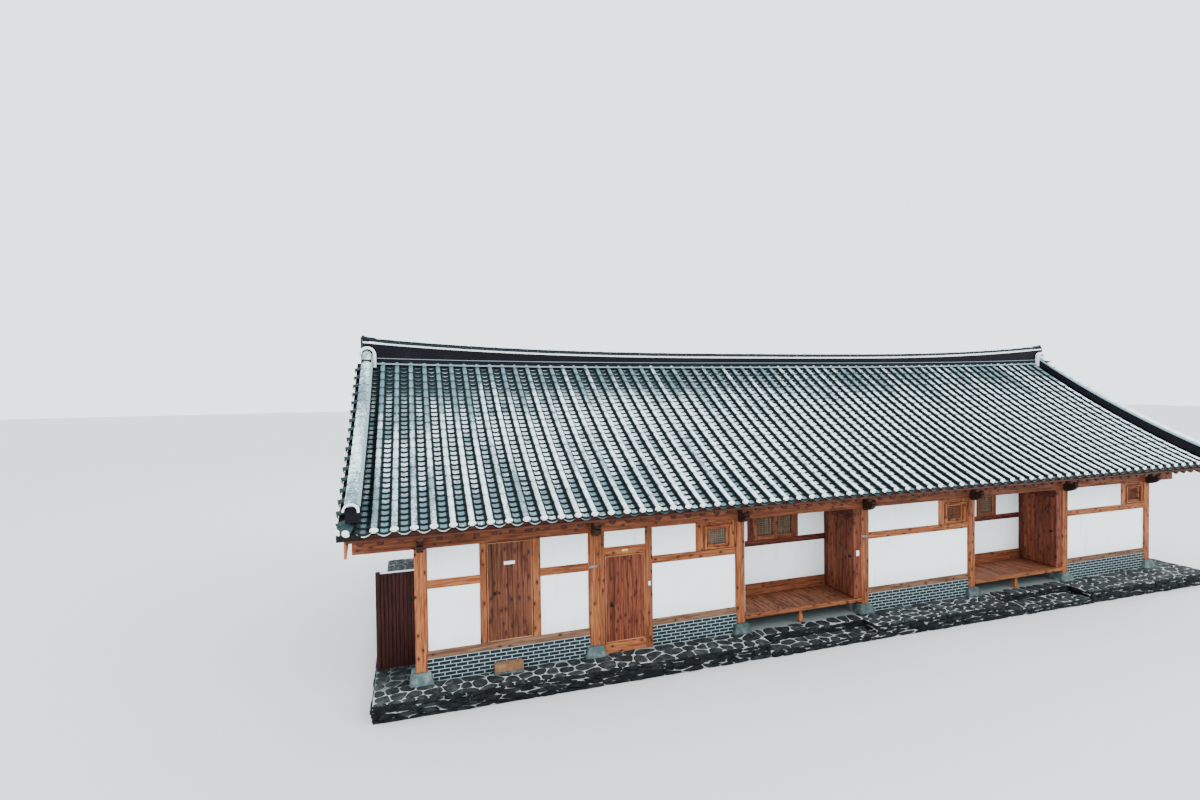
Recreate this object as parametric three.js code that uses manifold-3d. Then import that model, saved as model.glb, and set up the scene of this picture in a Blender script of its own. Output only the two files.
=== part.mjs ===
import * as THREE from "three";
import { mergeVertices } from "three/addons/utils/BufferGeometryUtils.js";
import Module from "manifold-3d";

const wasm = await Module();
wasm.setup();

// Driving dimensions, in millimetres: X to the right along the front, Y to the back, Z up from the ground
const BAY = 3200;
const BAYS = 6;
const POST = 200;
const HALF_DEPTH = 3770; // from the front face of the posts to the ridge
const GAP = 0.3125; // between touching pieces, a whole number of steps of the grid that points are rounded to
const SWING = 5; // clearance over and under a moving leaf
const FREE_EDGE = 7; // clearance beside its free edge
const HINGE_EDGE = 5.5; // clearance beside its hinged edge, which the hinge barrels bridge

// Heights above the ground
const STEP_TOP = 140;
const PLATFORM_TOP = 300;
const PAD_TOP = 500;
const FLOOR_TOP = 480;
const PORCH_FLOOR_TOP = 650;
const SILL_BOTTOM = 710;
const SILL_TOP = 850;
const RAIL_BOTTOM = 1960;
const RAIL_TOP = 2110;
const DOOR_2_TOP = 2210;
const LINTEL_TOP = 2370;
const PORCH_DOOR_TOP = 2470;
const BEAM_BOTTOM = 2680;
const BEAM_TOP = 2920;

// Depths behind the front face of the posts
const FRAME_FACE = 15;
const FRAME_BACK = 165;
const RAIL_BACK = 90;
const PLASTER_FACE = 35;
const PLASTER_BACK = 135;
const BRICK_FACE = 20;
const BRICK_BACK = 180;
const LEAF_THICKNESS = 45;

// Features of a bay, measured from the axis of its left post
const STRIP = 20; // wall strip beside a post
const DOOR_1 = { left: 1150, right: 2000 };
const DOOR_1_JAMB = { left: 1030, right: 2150 };
const DOOR_2 = { left: 210, right: 1060 };
const DOOR_2_JAMB_RIGHT = 1210;
const STILE_LEFT = 2175;
const WINDOW_LEFT = 2345;
const KNOB_FROM_EDGE = 140;
const KNOB_1_HEIGHT = 1740;
const KNOB_2_HEIGHT = 1250;
const KNOB_PORCH_HEIGHT = 1580;

// Porches
const PORCH_DEPTH = 1010;
const PORCH_WALL = 120;
const PORCH_SIDE = 304; // left face of the board wall, left of the post axis
const PORCH_BOARD = 60;
const PORCH_FRONT_BOARD = 55;
const PORCH_LEAF_BACK = 880;
const PORCH_THRESHOLD = 30;
const PORCH_FLOOR_THICKNESS = 60;
const PORCH_FLOOR_LIP = 20;

// Roof
const EAVE = 4700; // from the ridge to the edge of the tiles
const HALF_ROOF = 10900;
const VERGE_INNER = 10480;
const VERGE_BAR_OUTER = 10740;
const BARGE_FACE = 10700;
const BARGE_THICKNESS = 40;
const BARGE_DEPTH = 330;
const RAFTER_SLOPE = 0.47;
const RAFTER_END = 4570;
const RAFTER_END_HEIGHT = 3015;
const RAFTER = 110;
const RAFTER_PITCH = 300;
const RAFTER_COUNT = 71;
const ROOF_BOARD = 25;
const MID_PURLIN = 1885;
const RIDGE_SEAT = 5640;
const RIDGE_HALF_WIDTH = 130;
const RIDGE_MIDDLE_TOP = 6375;
const RIDGE_RISE = 325;
const RIDGE_TIP = 10760;
const RIDGE_TIP_TOP = 6780;
const VERGE_APEX = 6442;
const VERGE_END = 4560;
const ROOF_STATIONS = [EAVE, 4300, 3750, 3150, 2500, MID_PURLIN, 1400, 900, 450, RIDGE_HALF_WIDTH + GAP];

const wood = new THREE.MeshStandardMaterial({ color: 0xa8582c, roughness: 0.7, metalness: 0 });
const redWood = new THREE.MeshStandardMaterial({ color: 0x6e2f22, roughness: 0.75, metalness: 0 });
const plaster = new THREE.MeshStandardMaterial({ color: 0xdfe3e4, roughness: 0.9, metalness: 0 });
const brick = new THREE.MeshStandardMaterial({ color: 0x27323a, roughness: 0.85, metalness: 0 });
const stone = new THREE.MeshStandardMaterial({ color: 0x3c4544, roughness: 0.9, metalness: 0 });
const tile = new THREE.MeshStandardMaterial({ color: 0x5c7678, roughness: 0.6, metalness: 0 });
const paleFloor = new THREE.MeshStandardMaterial({ color: 0xa9a294, roughness: 0.8, metalness: 0 });

const house = new THREE.Group();

function addPart(name, geometry, material) {
  const mesh = new THREE.Mesh(geometry, material);
  mesh.name = name;
  house.add(mesh);
  return mesh;
}

// A closed box from one corner to the opposite one
function block([x0, y0, z0], [x1, y1, z1]) {
  const size = [Math.abs(x1 - x0), Math.abs(y1 - y0), Math.abs(z1 - z0)];
  const geometry = new THREE.BoxGeometry(...size);
  return geometry.translate((x0 + x1) / 2, (y0 + y1) / 2, (z0 + z1) / 2);
}

function outline(points) {
  return new THREE.Shape(points.map(([a, b]) => new THREE.Vector2(a, b)));
}

function extrusion(points, length) {
  return new THREE.ExtrudeGeometry(outline(points), { depth: length, bevelEnabled: false });
}

// An outline in plan, from one height to another
function planSlab(points, z0, z1) {
  return extrusion(points, z1 - z0).translate(0, 0, z0);
}

// A section in Y and Z, run along X
function runAlongX(points, x0, x1) {
  const turn = new THREE.Matrix4().makeBasis(
    new THREE.Vector3(0, 1, 0),
    new THREE.Vector3(0, 0, 1),
    new THREE.Vector3(1, 0, 0),
  );
  return extrusion(points, Math.abs(x1 - x0)).applyMatrix4(turn).translate(Math.min(x0, x1), 0, 0);
}

// An outline in X and Z, run along Y
function runAlongY(points, y0, y1) {
  const turn = new THREE.Matrix4().makeBasis(
    new THREE.Vector3(1, 0, 0),
    new THREE.Vector3(0, 0, 1),
    new THREE.Vector3(0, -1, 0),
  );
  return extrusion(points, Math.abs(y1 - y0)).applyMatrix4(turn).translate(0, Math.max(y0, y1), 0);
}

// Coordinates are rounded to a fine grid, so that faces meant to be flush are exactly flush
const GRID = 64;

function toSolid(geometry) {
  const plain = geometry.clone();
  plain.deleteAttribute("normal");
  plain.deleteAttribute("uv");
  const place = plain.attributes.position;
  place.array.forEach((value, index) => {
    place.array[index] = Math.round(value * GRID) / GRID;
  });
  const merged = mergeVertices(plain, 0.001);
  return new wasm.Manifold(
    new wasm.Mesh({
      numProp: 3,
      vertProperties: new Float32Array(merged.attributes.position.array),
      triVerts: new Uint32Array(merged.index.array),
    }),
  );
}

function toGeometry(solid) {
  const mesh = solid.getMesh();
  const geometry = new THREE.BufferGeometry();
  geometry.setAttribute("position", new THREE.BufferAttribute(mesh.vertProperties, 3));
  geometry.setIndex(new THREE.BufferAttribute(mesh.triVerts, 1));
  geometry.computeVertexNormals();
  return geometry;
}

function join(geometries) {
  return toGeometry(geometries.map(toSolid).reduce((whole, piece) => whole.add(piece)));
}

function cut(geometry, tools) {
  return toGeometry(tools.map(toSolid).reduce((rest, tool) => rest.subtract(tool), toSolid(geometry)));
}

// Members are kept as corner pairs, so that a wall can be grooved for them with a small gap
function membersJoined(members) {
  return join(members.map(([low, high]) => block(low, high)));
}

function grown([low, high]) {
  const first = low.map((value, axis) => Math.min(value, high[axis]) - GAP);
  const second = low.map((value, axis) => Math.max(value, high[axis]) + GAP);
  return block(first, second);
}

function grooved(geometry, members) {
  return cut(geometry, members.map(grown));
}

function columnX(index) {
  return (index - BAYS / 2) * BAY;
}

const FRONT = -HALF_DEPTH;
const POST_AXIS = FRONT + POST / 2;
const POST_BACK = FRONT + POST;
const PORCH_WALL_FACE = FRONT + PORCH_DEPTH;
const PORCH_WALL_BACK = PORCH_WALL_FACE + PORCH_WALL;
const END = columnX(BAYS); // axis of the right corner post
const OUTER = END + POST / 2;
const INNER = END - POST / 2;
const WALL_FACE = 35; // plaster behind the outer faces of the posts at the sides and the back
const PLANTED = 100; // depth of the posts planted on the side and back walls

// Roof heights: the tile crests hang in a shallow curve between the ridge and the eave
const CREST = { run: 4888, ridge: 6073, drop: 2877, sag: 728 };
const TILE_BED = 60; // mean surface of the tiles below their crests
const LIFT_EAVE = 40;
const LIFT_RIDGE = 120;
const RAFTER_COS = 1 / Math.hypot(1, RAFTER_SLOPE);

function tileCrest(y) {
  const u = Math.abs(y) / CREST.run;
  return CREST.ridge - CREST.drop * u - CREST.sag * u * (1 - u);
}

function endLift(x, y) {
  const height = LIFT_RIDGE + (LIFT_EAVE - LIFT_RIDGE) * (Math.abs(y) / EAVE);
  return height * (Math.abs(x) / HALF_ROOF) ** 3;
}

function roofCrest(x, y) {
  return tileCrest(y) + endLift(x, y);
}

function roofTop(x, y) {
  return roofCrest(x, y) - TILE_BED;
}

function rafterUnderside(y) {
  return RAFTER_END_HEIGHT + (RAFTER_END - Math.abs(y)) * RAFTER_SLOPE;
}

function boardTop(y) {
  return rafterUnderside(y) + (RAFTER + ROOF_BOARD) / RAFTER_COS;
}

function roofUnderside(y) {
  const distance = Math.abs(y);
  if (distance >= MID_PURLIN) return boardTop(y) + GAP;
  const share = (MID_PURLIN - distance) / (MID_PURLIN - RIDGE_HALF_WIDTH);
  return boardTop(MID_PURLIN) + GAP + share * (RIDGE_SEAT - boardTop(MID_PURLIN) - GAP);
}

// Platform of laid stone in two courses: the upper one stops short of each porch and leaves a step
const PORCH_BAYS = [2, 4];
const PLATFORM = { left: -10390, right: 10670, frontLeft: -4270, frontRight: -4620, back: 4300 };
const STEP = { left: 300, right: 2900, back: 280 }; // from the porch's left post, and before the posts
const UPPER_FRONT = FRONT - STEP.back;
const UPPER_BOTTOM = STEP_TOP + GAP;

function platformFront(x) {
  const share = (x - PLATFORM.left) / (PLATFORM.right - PLATFORM.left);
  return PLATFORM.frontLeft + share * (PLATFORM.frontRight - PLATFORM.frontLeft);
}

function platformPlan(left, right, back) {
  return [
    [left, platformFront(left)],
    [right, platformFront(right)],
    [right, back],
    [left, back],
  ];
}

const wholePlan = platformPlan(PLATFORM.left, PLATFORM.right, PLATFORM.back);
addPart("platform_base", planSlab(wholePlan, 0, STEP_TOP), stone);
addPart(
  "platform_top",
  block([PLATFORM.left, UPPER_FRONT + GAP, UPPER_BOTTOM], [PLATFORM.right, PLATFORM.back, PLATFORM_TOP]),
  stone,
);
const [stepOne, stepTwo] = PORCH_BAYS.map((bay) => {
  return { left: columnX(bay) + STEP.left, right: columnX(bay) + STEP.right };
});
for (const [name, left, right] of [
  ["left", PLATFORM.left, stepOne.left],
  ["middle", stepOne.right, stepTwo.left],
  ["right", stepTwo.right, PLATFORM.right],
]) {
  const plan = platformPlan(left, right, UPPER_FRONT);
  addPart(`platform_front_${name}`, planSlab(plan, UPPER_BOTTOM, PLATFORM_TOP), stone);
}

// Tapered stone pads under the front posts
const COLUMNS = Array.from({ length: BAYS + 1 }, (_, index) => index);
const PAD = { low: 205, high: 150 }; // half widths at its foot and its top

function pad(index, margin = 0) {
  const low = (PAD.low + margin) * Math.SQRT2;
  const high = (PAD.high + margin) * Math.SQRT2;
  const bottom = PLATFORM_TOP + GAP - margin;
  const height = PAD_TOP + margin - bottom;
  const frustum = new THREE.CylinderGeometry(high, low, height, 4, 1);
  frustum.rotateX(Math.PI / 2).rotateZ(Math.PI / 4);
  return frustum.translate(columnX(index), POST_AXIS, bottom + height / 2);
}

// Leaves room for the pads in what stands beside them
function clearOfPads(geometry, columns = COLUMNS) {
  return cut(geometry, columns.map((index) => pad(index, 2 * GAP)));
}

function houseFloor() {
  const room = block(
    [-INNER + GAP, POST_BACK + GAP, PLATFORM_TOP + GAP],
    [INNER - GAP, -POST_BACK - GAP, FLOOR_TOP],
  );
  const porches = PORCH_BAYS.map((bay) => {
    const left = columnX(bay) + POST / 2 - GAP;
    const right = columnX(bay + 1) - PORCH_SIDE + PORCH_BOARD + GAP;
    return block([left, FRONT, 0], [right, PORCH_WALL_BACK + GAP, FLOOR_TOP + 50]);
  });
  return clearOfPads(cut(room, porches));
}

addPart("floor", houseFloor(), paleFloor);

// Eave beam with the round purlin on it
const PURLIN_RADIUS = 125;
const BEAM_HALF = 85;
const BLOCK_HALF = 50;

function eaveBeam() {
  const centre = rafterUnderside(POST_AXIS) - (PURLIN_RADIUS + GAP) / RAFTER_COS;
  const section = [
    [-BEAM_HALF, BEAM_BOTTOM],
    [BEAM_HALF, BEAM_BOTTOM],
    [BEAM_HALF, BEAM_TOP],
    [BLOCK_HALF, BEAM_TOP],
  ];
  const start = Math.acos(BLOCK_HALF / PURLIN_RADIUS);
  const steps = 9;
  for (let step = 0; step <= steps; step += 1) {
    const angle = -start + ((Math.PI + 2 * start) * step) / steps;
    section.push([PURLIN_RADIUS * Math.cos(angle), centre + PURLIN_RADIUS * Math.sin(angle)]);
  }
  section.push([-BLOCK_HALF, BEAM_TOP], [-BEAM_HALF, BEAM_TOP]);
  return runAlongX(section, -BARGE_FACE + GAP, BARGE_FACE - GAP).translate(0, POST_AXIS, 0);
}

addPart("front_beam", eaveBeam(), wood);
addPart("rear_beam", eaveBeam(), wood).rotation.z = Math.PI;

// A front post, with the bracket head that reaches out from it before the beam
const HEAD_HEIGHT = BEAM_BOTTOM - GAP;
const BRACKET = { half: 55, reach: 290, bottom: 2640, top: 2900 };

function postMembers(index) {
  const x = columnX(index);
  return [
    [
      [x - POST / 2, FRONT, PAD_TOP + GAP],
      [x + POST / 2, POST_BACK, HEAD_HEIGHT],
    ],
    [
      [x - BRACKET.half, FRONT - BRACKET.reach, BRACKET.bottom],
      [x + BRACKET.half, POST_AXIS - BEAM_HALF - GAP, BRACKET.top],
    ],
  ];
}

// Front bays: the frame of each is one piece with the posts between bays that stand beside it
function bayMembers(index, members) {
  const x = columnX(index);
  return members.map(([left, right, front, back, bottom, top]) => [
    [x + left, FRONT + front, bottom],
    [x + right, FRONT + back, top],
  ]);
}

function baySlab(index, left, right, bottom, top) {
  const x = columnX(index);
  return block([x + left, FRONT + PLASTER_FACE, bottom], [x + right, FRONT + PLASTER_BACK, top]);
}

// The brick under a bay, one piece with the pads under the posts at the given columns
function brickBase(index, left, right, padColumns) {
  const x = columnX(index);
  const wall = block(
    [x + left, FRONT + BRICK_FACE, PLATFORM_TOP + GAP],
    [x + right, FRONT + BRICK_BACK, SILL_BOTTOM - GAP],
  );
  const beside = [index, index + 1].filter((column) => !padColumns.includes(column));
  return join([clearOfPads(wall, beside), ...padColumns.map((column) => pad(column))]);
}

const CLEAR_LEFT = POST / 2 + GAP;
const CLEAR_RIGHT = BAY - POST / 2 - GAP;

function strips(left, right) {
  return [
    [left, CLEAR_LEFT + STRIP, FRAME_FACE, RAIL_BACK, SILL_TOP, HEAD_HEIGHT],
    [CLEAR_RIGHT - STRIP, right, FRAME_FACE, RAIL_BACK, SILL_TOP, HEAD_HEIGHT],
  ];
}

// Bay 1: a door between two plaster panels, and a low block to step on before it
const bayOne = [
  ...bayMembers(0, [
    [CLEAR_LEFT, BAY, FRAME_FACE, FRAME_BACK, SILL_BOTTOM, SILL_TOP],
    [DOOR_1_JAMB.left, DOOR_1.left, FRAME_FACE, FRAME_BACK, SILL_TOP, HEAD_HEIGHT],
    [DOOR_1.right, DOOR_1_JAMB.right, FRAME_FACE, FRAME_BACK, SILL_TOP, HEAD_HEIGHT],
    [CLEAR_LEFT, DOOR_1_JAMB.left, FRAME_FACE, RAIL_BACK, RAIL_BOTTOM, RAIL_TOP],
    [DOOR_1_JAMB.right, BAY, FRAME_FACE, RAIL_BACK, RAIL_BOTTOM, RAIL_TOP],
    ...strips(CLEAR_LEFT, BAY),
  ]),
  ...postMembers(1),
];
addPart("bay_1_frame", membersJoined(bayOne), wood);
addPart(
  "bay_1_wall_left",
  grooved(baySlab(0, CLEAR_LEFT, DOOR_1_JAMB.left - GAP, SILL_TOP + GAP, HEAD_HEIGHT), bayOne),
  plaster,
);
addPart(
  "bay_1_wall_right",
  grooved(baySlab(0, DOOR_1_JAMB.right + GAP, CLEAR_RIGHT, SILL_TOP + GAP, HEAD_HEIGHT), bayOne),
  plaster,
);
addPart("bay_1_brick_base", brickBase(0, CLEAR_LEFT, CLEAR_RIGHT, [0, 1]), brick);
const DOOR_STEP = { left: 1260, right: 1780, reach: 150, top: 480 };
addPart(
  "door_step",
  block(
    [columnX(0) + DOOR_STEP.left, FRONT - DOOR_STEP.reach, PLATFORM_TOP + GAP],
    [columnX(0) + DOOR_STEP.right, FRONT + BRICK_FACE - GAP, DOOR_STEP.top],
  ),
  stone,
);

// Bay 2: a lower door at the left, a window at the right
const bayTwo = [
  ...bayMembers(1, [
    [CLEAR_LEFT, DOOR_2.left, FRAME_FACE, FRAME_BACK, PLATFORM_TOP + GAP, HEAD_HEIGHT],
    [DOOR_2.right, DOOR_2_JAMB_RIGHT, FRAME_FACE, FRAME_BACK, PLATFORM_TOP + GAP, HEAD_HEIGHT],
    [CLEAR_LEFT, DOOR_2_JAMB_RIGHT, FRAME_FACE, FRAME_BACK, PLATFORM_TOP + GAP, PAD_TOP],
    [CLEAR_LEFT, DOOR_2_JAMB_RIGHT, FRAME_FACE, FRAME_BACK, DOOR_2_TOP, LINTEL_TOP],
    [DOOR_2_JAMB_RIGHT, BAY, FRAME_FACE, FRAME_BACK, SILL_BOTTOM, SILL_TOP],
    [DOOR_2_JAMB_RIGHT, BAY, FRAME_FACE, RAIL_BACK, RAIL_BOTTOM, RAIL_TOP],
    [STILE_LEFT, WINDOW_LEFT, FRAME_FACE, RAIL_BACK, RAIL_TOP, HEAD_HEIGHT],
    [CLEAR_RIGHT - STRIP, BAY, FRAME_FACE, RAIL_BACK, SILL_TOP, HEAD_HEIGHT],
  ]),
  ...postMembers(2),
];
addPart("bay_2_frame", clearOfPads(membersJoined(bayTwo), [1]), wood);
addPart(
  "bay_2_wall_over_door",
  grooved(baySlab(1, DOOR_2.left + GAP, DOOR_2.right - GAP, LINTEL_TOP + GAP, HEAD_HEIGHT), []),
  plaster,
);

function windowHole(index) {
  const x = columnX(index);
  const low = [x + WINDOW_LEFT - GAP, FRONT - 50, RAIL_TOP];
  return [low, [x + CLEAR_RIGHT - STRIP, FRONT + 300, HEAD_HEIGHT + 5]];
}

function windowLeaf(index) {
  const x = columnX(index);
  const low = [x + WINDOW_LEFT + GAP, FRONT + PLASTER_FACE, RAIL_TOP + GAP];
  return block(low, [x + CLEAR_RIGHT - STRIP - GAP, FRONT + PLASTER_BACK, HEAD_HEIGHT]);
}

function wallWithWindow(index, left, members) {
  const slab = baySlab(index, left, CLEAR_RIGHT, SILL_TOP + GAP, HEAD_HEIGHT);
  return grooved(slab, [...members, windowHole(index)]);
}

addPart("bay_2_wall_right", wallWithWindow(1, DOOR_2_JAMB_RIGHT + GAP, bayTwo), plaster);
addPart("bay_2_window", windowLeaf(1), wood);
addPart("bay_2_brick_base", brickBase(1, DOOR_2_JAMB_RIGHT + GAP, CLEAR_RIGHT, [2]), brick);

// Bays 4 and 6: a plaster wall with a window at the upper right
for (const [index, right, posts, pads] of [
  [3, BAY, [3, 4], [3, 4]],
  [5, CLEAR_RIGHT, [5], [5, 6]],
]) {
  const members = [
    ...bayMembers(index, [
      [0, right, FRAME_FACE, FRAME_BACK, SILL_BOTTOM, SILL_TOP],
      [0, right, FRAME_FACE, RAIL_BACK, RAIL_BOTTOM, RAIL_TOP],
      [STILE_LEFT, WINDOW_LEFT, FRAME_FACE, RAIL_BACK, RAIL_TOP, HEAD_HEIGHT],
      ...strips(0, right),
    ]),
    ...posts.flatMap(postMembers),
  ];
  const bay = `bay_${index + 1}`;
  addPart(`${bay}_frame`, membersJoined(members), wood);
  addPart(`${bay}_wall`, wallWithWindow(index, CLEAR_LEFT, members), plaster);
  addPart(`${bay}_window`, windowLeaf(index), wood);
  addPart(`${bay}_brick_base`, brickBase(index, CLEAR_LEFT, CLEAR_RIGHT, pads), brick);
}

// Hinged doors of the front wall, each with a round handle and two hinge barrels
const KNOB_RADIUS = 28;
const KNOB_REACH = 60;
const BARREL_RADIUS = HINGE_EDGE - GAP;
const BARREL_LENGTH = 110;
const BARREL_INSET = 260; // from the top and bottom of the leaf

function hingeBarrels(x, y, bottom, top) {
  return [bottom + BARREL_INSET, top - BARREL_INSET].map((height) => {
    const barrel = new THREE.CylinderGeometry(BARREL_RADIUS, BARREL_RADIUS, BARREL_LENGTH, 12);
    return barrel.rotateX(Math.PI / 2).translate(x, y, height);
  });
}

function frontDoor(index, door, bottom, top, knobHeight) {
  const x = columnX(index);
  const face = FRONT + FRAME_FACE;
  const hinge = x + door.right - HINGE_EDGE;
  const leaf = block([x + door.left + FREE_EDGE, face, bottom], [hinge, face + LEAF_THICKNESS, top]);
  const knob = new THREE.CylinderGeometry(KNOB_RADIUS, KNOB_RADIUS, KNOB_REACH + 10, 12);
  knob.translate(x + door.left + KNOB_FROM_EDGE, face + 5 - KNOB_REACH / 2, knobHeight);
  return join([leaf, knob, ...hingeBarrels(hinge, face, bottom, top)]);
}

addPart("door_1", frontDoor(0, DOOR_1, SILL_TOP + SWING, BEAM_BOTTOM - SWING, KNOB_1_HEIGHT), wood);
addPart("door_2", frontDoor(1, DOOR_2, PAD_TOP + SWING, DOOR_2_TOP - SWING, KNOB_2_HEIGHT), redWood);

// Porches: plaster at the back and left, a board wall with a doorway at the right, a raised floor
const PURLIN_BACK = POST_AXIS + PURLIN_RADIUS + 10;

function wallTop(y) {
  return rafterUnderside(y) - GAP;
}

const PORCH_WINDOWS = [
  { left: 790, right: 2150 }, // double
  { left: 1370, right: 2050 },
];
const PORCH_WINDOW_BOTTOM = 1905;
const PORCH_WINDOW_TOP = 2480;
const PORCH_RAIL = { bottom: 1770, top: 1905 };

PORCH_BAYS.forEach((bay, number) => {
  const name = `porch_${number + 1}`;
  const left = columnX(bay) + POST / 2;
  const side = columnX(bay + 1) - PORCH_SIDE;
  const jamb = columnX(bay + 1) - POST / 2;
  const opening = PORCH_WINDOWS[number];
  const windowLeft = columnX(bay) + opening.left;
  const windowRight = columnX(bay) + opening.right;

  const backProfile = [
    [PORCH_WALL_FACE, PLATFORM_TOP + GAP],
    [PORCH_WALL_BACK, PLATFORM_TOP + GAP],
    [PORCH_WALL_BACK, wallTop(PORCH_WALL_BACK)],
    [PORCH_WALL_FACE, wallTop(PORCH_WALL_FACE)],
  ];
  const sideProfile = [
    [POST_BACK + GAP, PLATFORM_TOP + GAP],
    [PORCH_WALL_FACE, PLATFORM_TOP + GAP],
    [PORCH_WALL_FACE, wallTop(PORCH_WALL_FACE)],
    [PURLIN_BACK, wallTop(PURLIN_BACK)],
    [PURLIN_BACK, HEAD_HEIGHT],
    [POST_BACK + GAP, HEAD_HEIGHT],
  ];
  const shell = join([
    runAlongX(backProfile, left + GAP, side + PORCH_BOARD),
    runAlongX(sideProfile, left + GAP, left + PORCH_WALL),
  ]);
  const hole = [
    [windowLeft, PORCH_WALL_FACE - 50, PORCH_WINDOW_BOTTOM],
    [windowRight, PORCH_WALL_BACK + 50, PORCH_WINDOW_TOP],
  ];
  const rails = [
    [
      [left + PORCH_WALL + GAP, PORCH_WALL_FACE - 20, PORCH_RAIL.bottom],
      [side - GAP, PORCH_WALL_FACE + 40, PORCH_RAIL.top],
    ],
  ];
  addPart(`${name}_wall`, clearOfPads(grooved(shell, [hole, ...rails]), [bay]), plaster);
  const windowFrame = [
    [windowLeft, PORCH_WALL_FACE - 25, PORCH_WINDOW_BOTTOM],
    [windowRight, PORCH_WALL_BACK - 20, PORCH_WINDOW_TOP],
  ];
  addPart(`${name}_window`, membersJoined([windowFrame, ...rails]), wood);

  const floorFront = FRONT - PORCH_FLOOR_LIP;
  const floorBottom = PORCH_FLOOR_TOP - PORCH_FLOOR_THICKNESS;
  const legX = (columnX(bay) + columnX(bay + 1)) / 2 - 90;
  const boards = block(
    [left + PORCH_WALL + GAP, floorFront, floorBottom],
    [jamb - GAP, PORCH_WALL_FACE - GAP, PORCH_FLOOR_TOP],
  );
  const lip = block(
    [left + GAP, floorFront, floorBottom],
    [left + PORCH_WALL + GAP, POST_BACK, PORCH_FLOOR_TOP],
  );
  const leg = block([legX - 40, FRONT + 30, PLATFORM_TOP + GAP], [legX + 40, FRONT + 110, floorBottom]);
  addPart(`${name}_floor`, join([boards, lip, leg]), wood);

  const leafFront = FRONT + PORCH_FRONT_BOARD + FREE_EDGE;
  const leafBack = FRONT + PORCH_LEAF_BACK;
  const leafBottom = PORCH_FLOOR_TOP + GAP + PORCH_THRESHOLD + SWING;
  const header = [
    [FRONT + FRAME_FACE, PORCH_DOOR_TOP],
    [PORCH_WALL_FACE - GAP, PORCH_DOOR_TOP],
    [PORCH_WALL_FACE - GAP, wallTop(PORCH_WALL_FACE)],
    [PURLIN_BACK, wallTop(PURLIN_BACK)],
    [PURLIN_BACK, HEAD_HEIGHT],
    [FRONT + FRAME_FACE, HEAD_HEIGHT],
  ];
  const base = PORCH_FLOOR_TOP + GAP;
  const boardRight = side + PORCH_BOARD;
  const boardBack = PORCH_WALL_FACE - GAP;
  addPart(
    `${name}_side_frame`,
    join([
      block([side, FRONT + FRAME_FACE, base], [jamb - GAP, FRONT + PORCH_FRONT_BOARD, HEAD_HEIGHT]),
      runAlongX(header, side, boardRight),
      block([side, leafBack + HINGE_EDGE, base], [boardRight, boardBack, PORCH_DOOR_TOP]),
      block([side, FRONT + FRAME_FACE, base], [boardRight, boardBack, base + PORCH_THRESHOLD]),
    ]),
    redWood,
  );
  const leaf = block(
    [side + SWING, leafFront, leafBottom],
    [side + SWING + LEAF_THICKNESS, leafBack, PORCH_DOOR_TOP - SWING],
  );
  const knob = new THREE.CylinderGeometry(KNOB_RADIUS, KNOB_RADIUS, KNOB_REACH + 10, 12);
  knob.rotateZ(Math.PI / 2).translate(side + 10 - KNOB_REACH / 2, leafFront + 70, KNOB_PORCH_HEIGHT);
  const barrels = hingeBarrels(side + SWING, leafBack, leafBottom, PORCH_DOOR_TOP - SWING);
  addPart(`${name}_door`, join([leaf, knob, ...barrels]), redWood);
});

// Back wall: posts, sill and rail planted on a plaster wall
const REAR = HALF_DEPTH;
const backMembers = [];
for (let index = 0; index <= BAYS; index += 1) {
  const x = columnX(index);
  const isCorner = index === 0 || index === BAYS;
  const inner = isCorner ? REAR - POST : REAR - PLANTED;
  backMembers.push([
    [x - POST / 2, inner, SILL_BOTTOM + GAP],
    [x + POST / 2, REAR, HEAD_HEIGHT],
  ]);
}
backMembers.push(
  [
    [-INNER, REAR - PLANTED, SILL_BOTTOM + GAP],
    [INNER, REAR - FRAME_FACE, SILL_TOP],
  ],
  [
    [-INNER, REAR - PLANTED, RAIL_BOTTOM],
    [INNER, REAR - FRAME_FACE, RAIL_TOP],
  ],
);
addPart("rear_frame", membersJoined(backMembers), wood);
const backSlab = block(
  [-INNER + GAP, REAR - POST, SILL_BOTTOM + GAP],
  [INNER - GAP, REAR - WALL_FACE, HEAD_HEIGHT],
);
addPart("rear_wall", grooved(backSlab, backMembers), plaster);

// Gable walls up to the roof, with planted posts, rails, a tie beam and a king post
const GABLE_POST_Y = 1257;
const PURLIN_HALF = 110;
const PURLIN_BOTTOM = 5400;
const KING_HALF = 90;
const COLLAR = { bottom: 4050, top: 4200, half: 1700 };

function gableOutline() {
  const apexHalf = 460;
  const right = [
    [-POST_BACK - GAP, SILL_BOTTOM + GAP],
    [-POST_BACK - GAP, HEAD_HEIGHT],
    [-PURLIN_BACK, HEAD_HEIGHT],
    [-PURLIN_BACK, wallTop(PURLIN_BACK)],
    [MID_PURLIN, wallTop(MID_PURLIN)],
    [MID_PURLIN, roofUnderside(MID_PURLIN) - 2 * GAP],
    [apexHalf, roofUnderside(apexHalf) - 2 * GAP],
    [apexHalf, PURLIN_BOTTOM - GAP],
  ];
  const left = right.map(([y, z]) => [-y, z]).reverse();
  return [...right, ...left];
}

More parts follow.
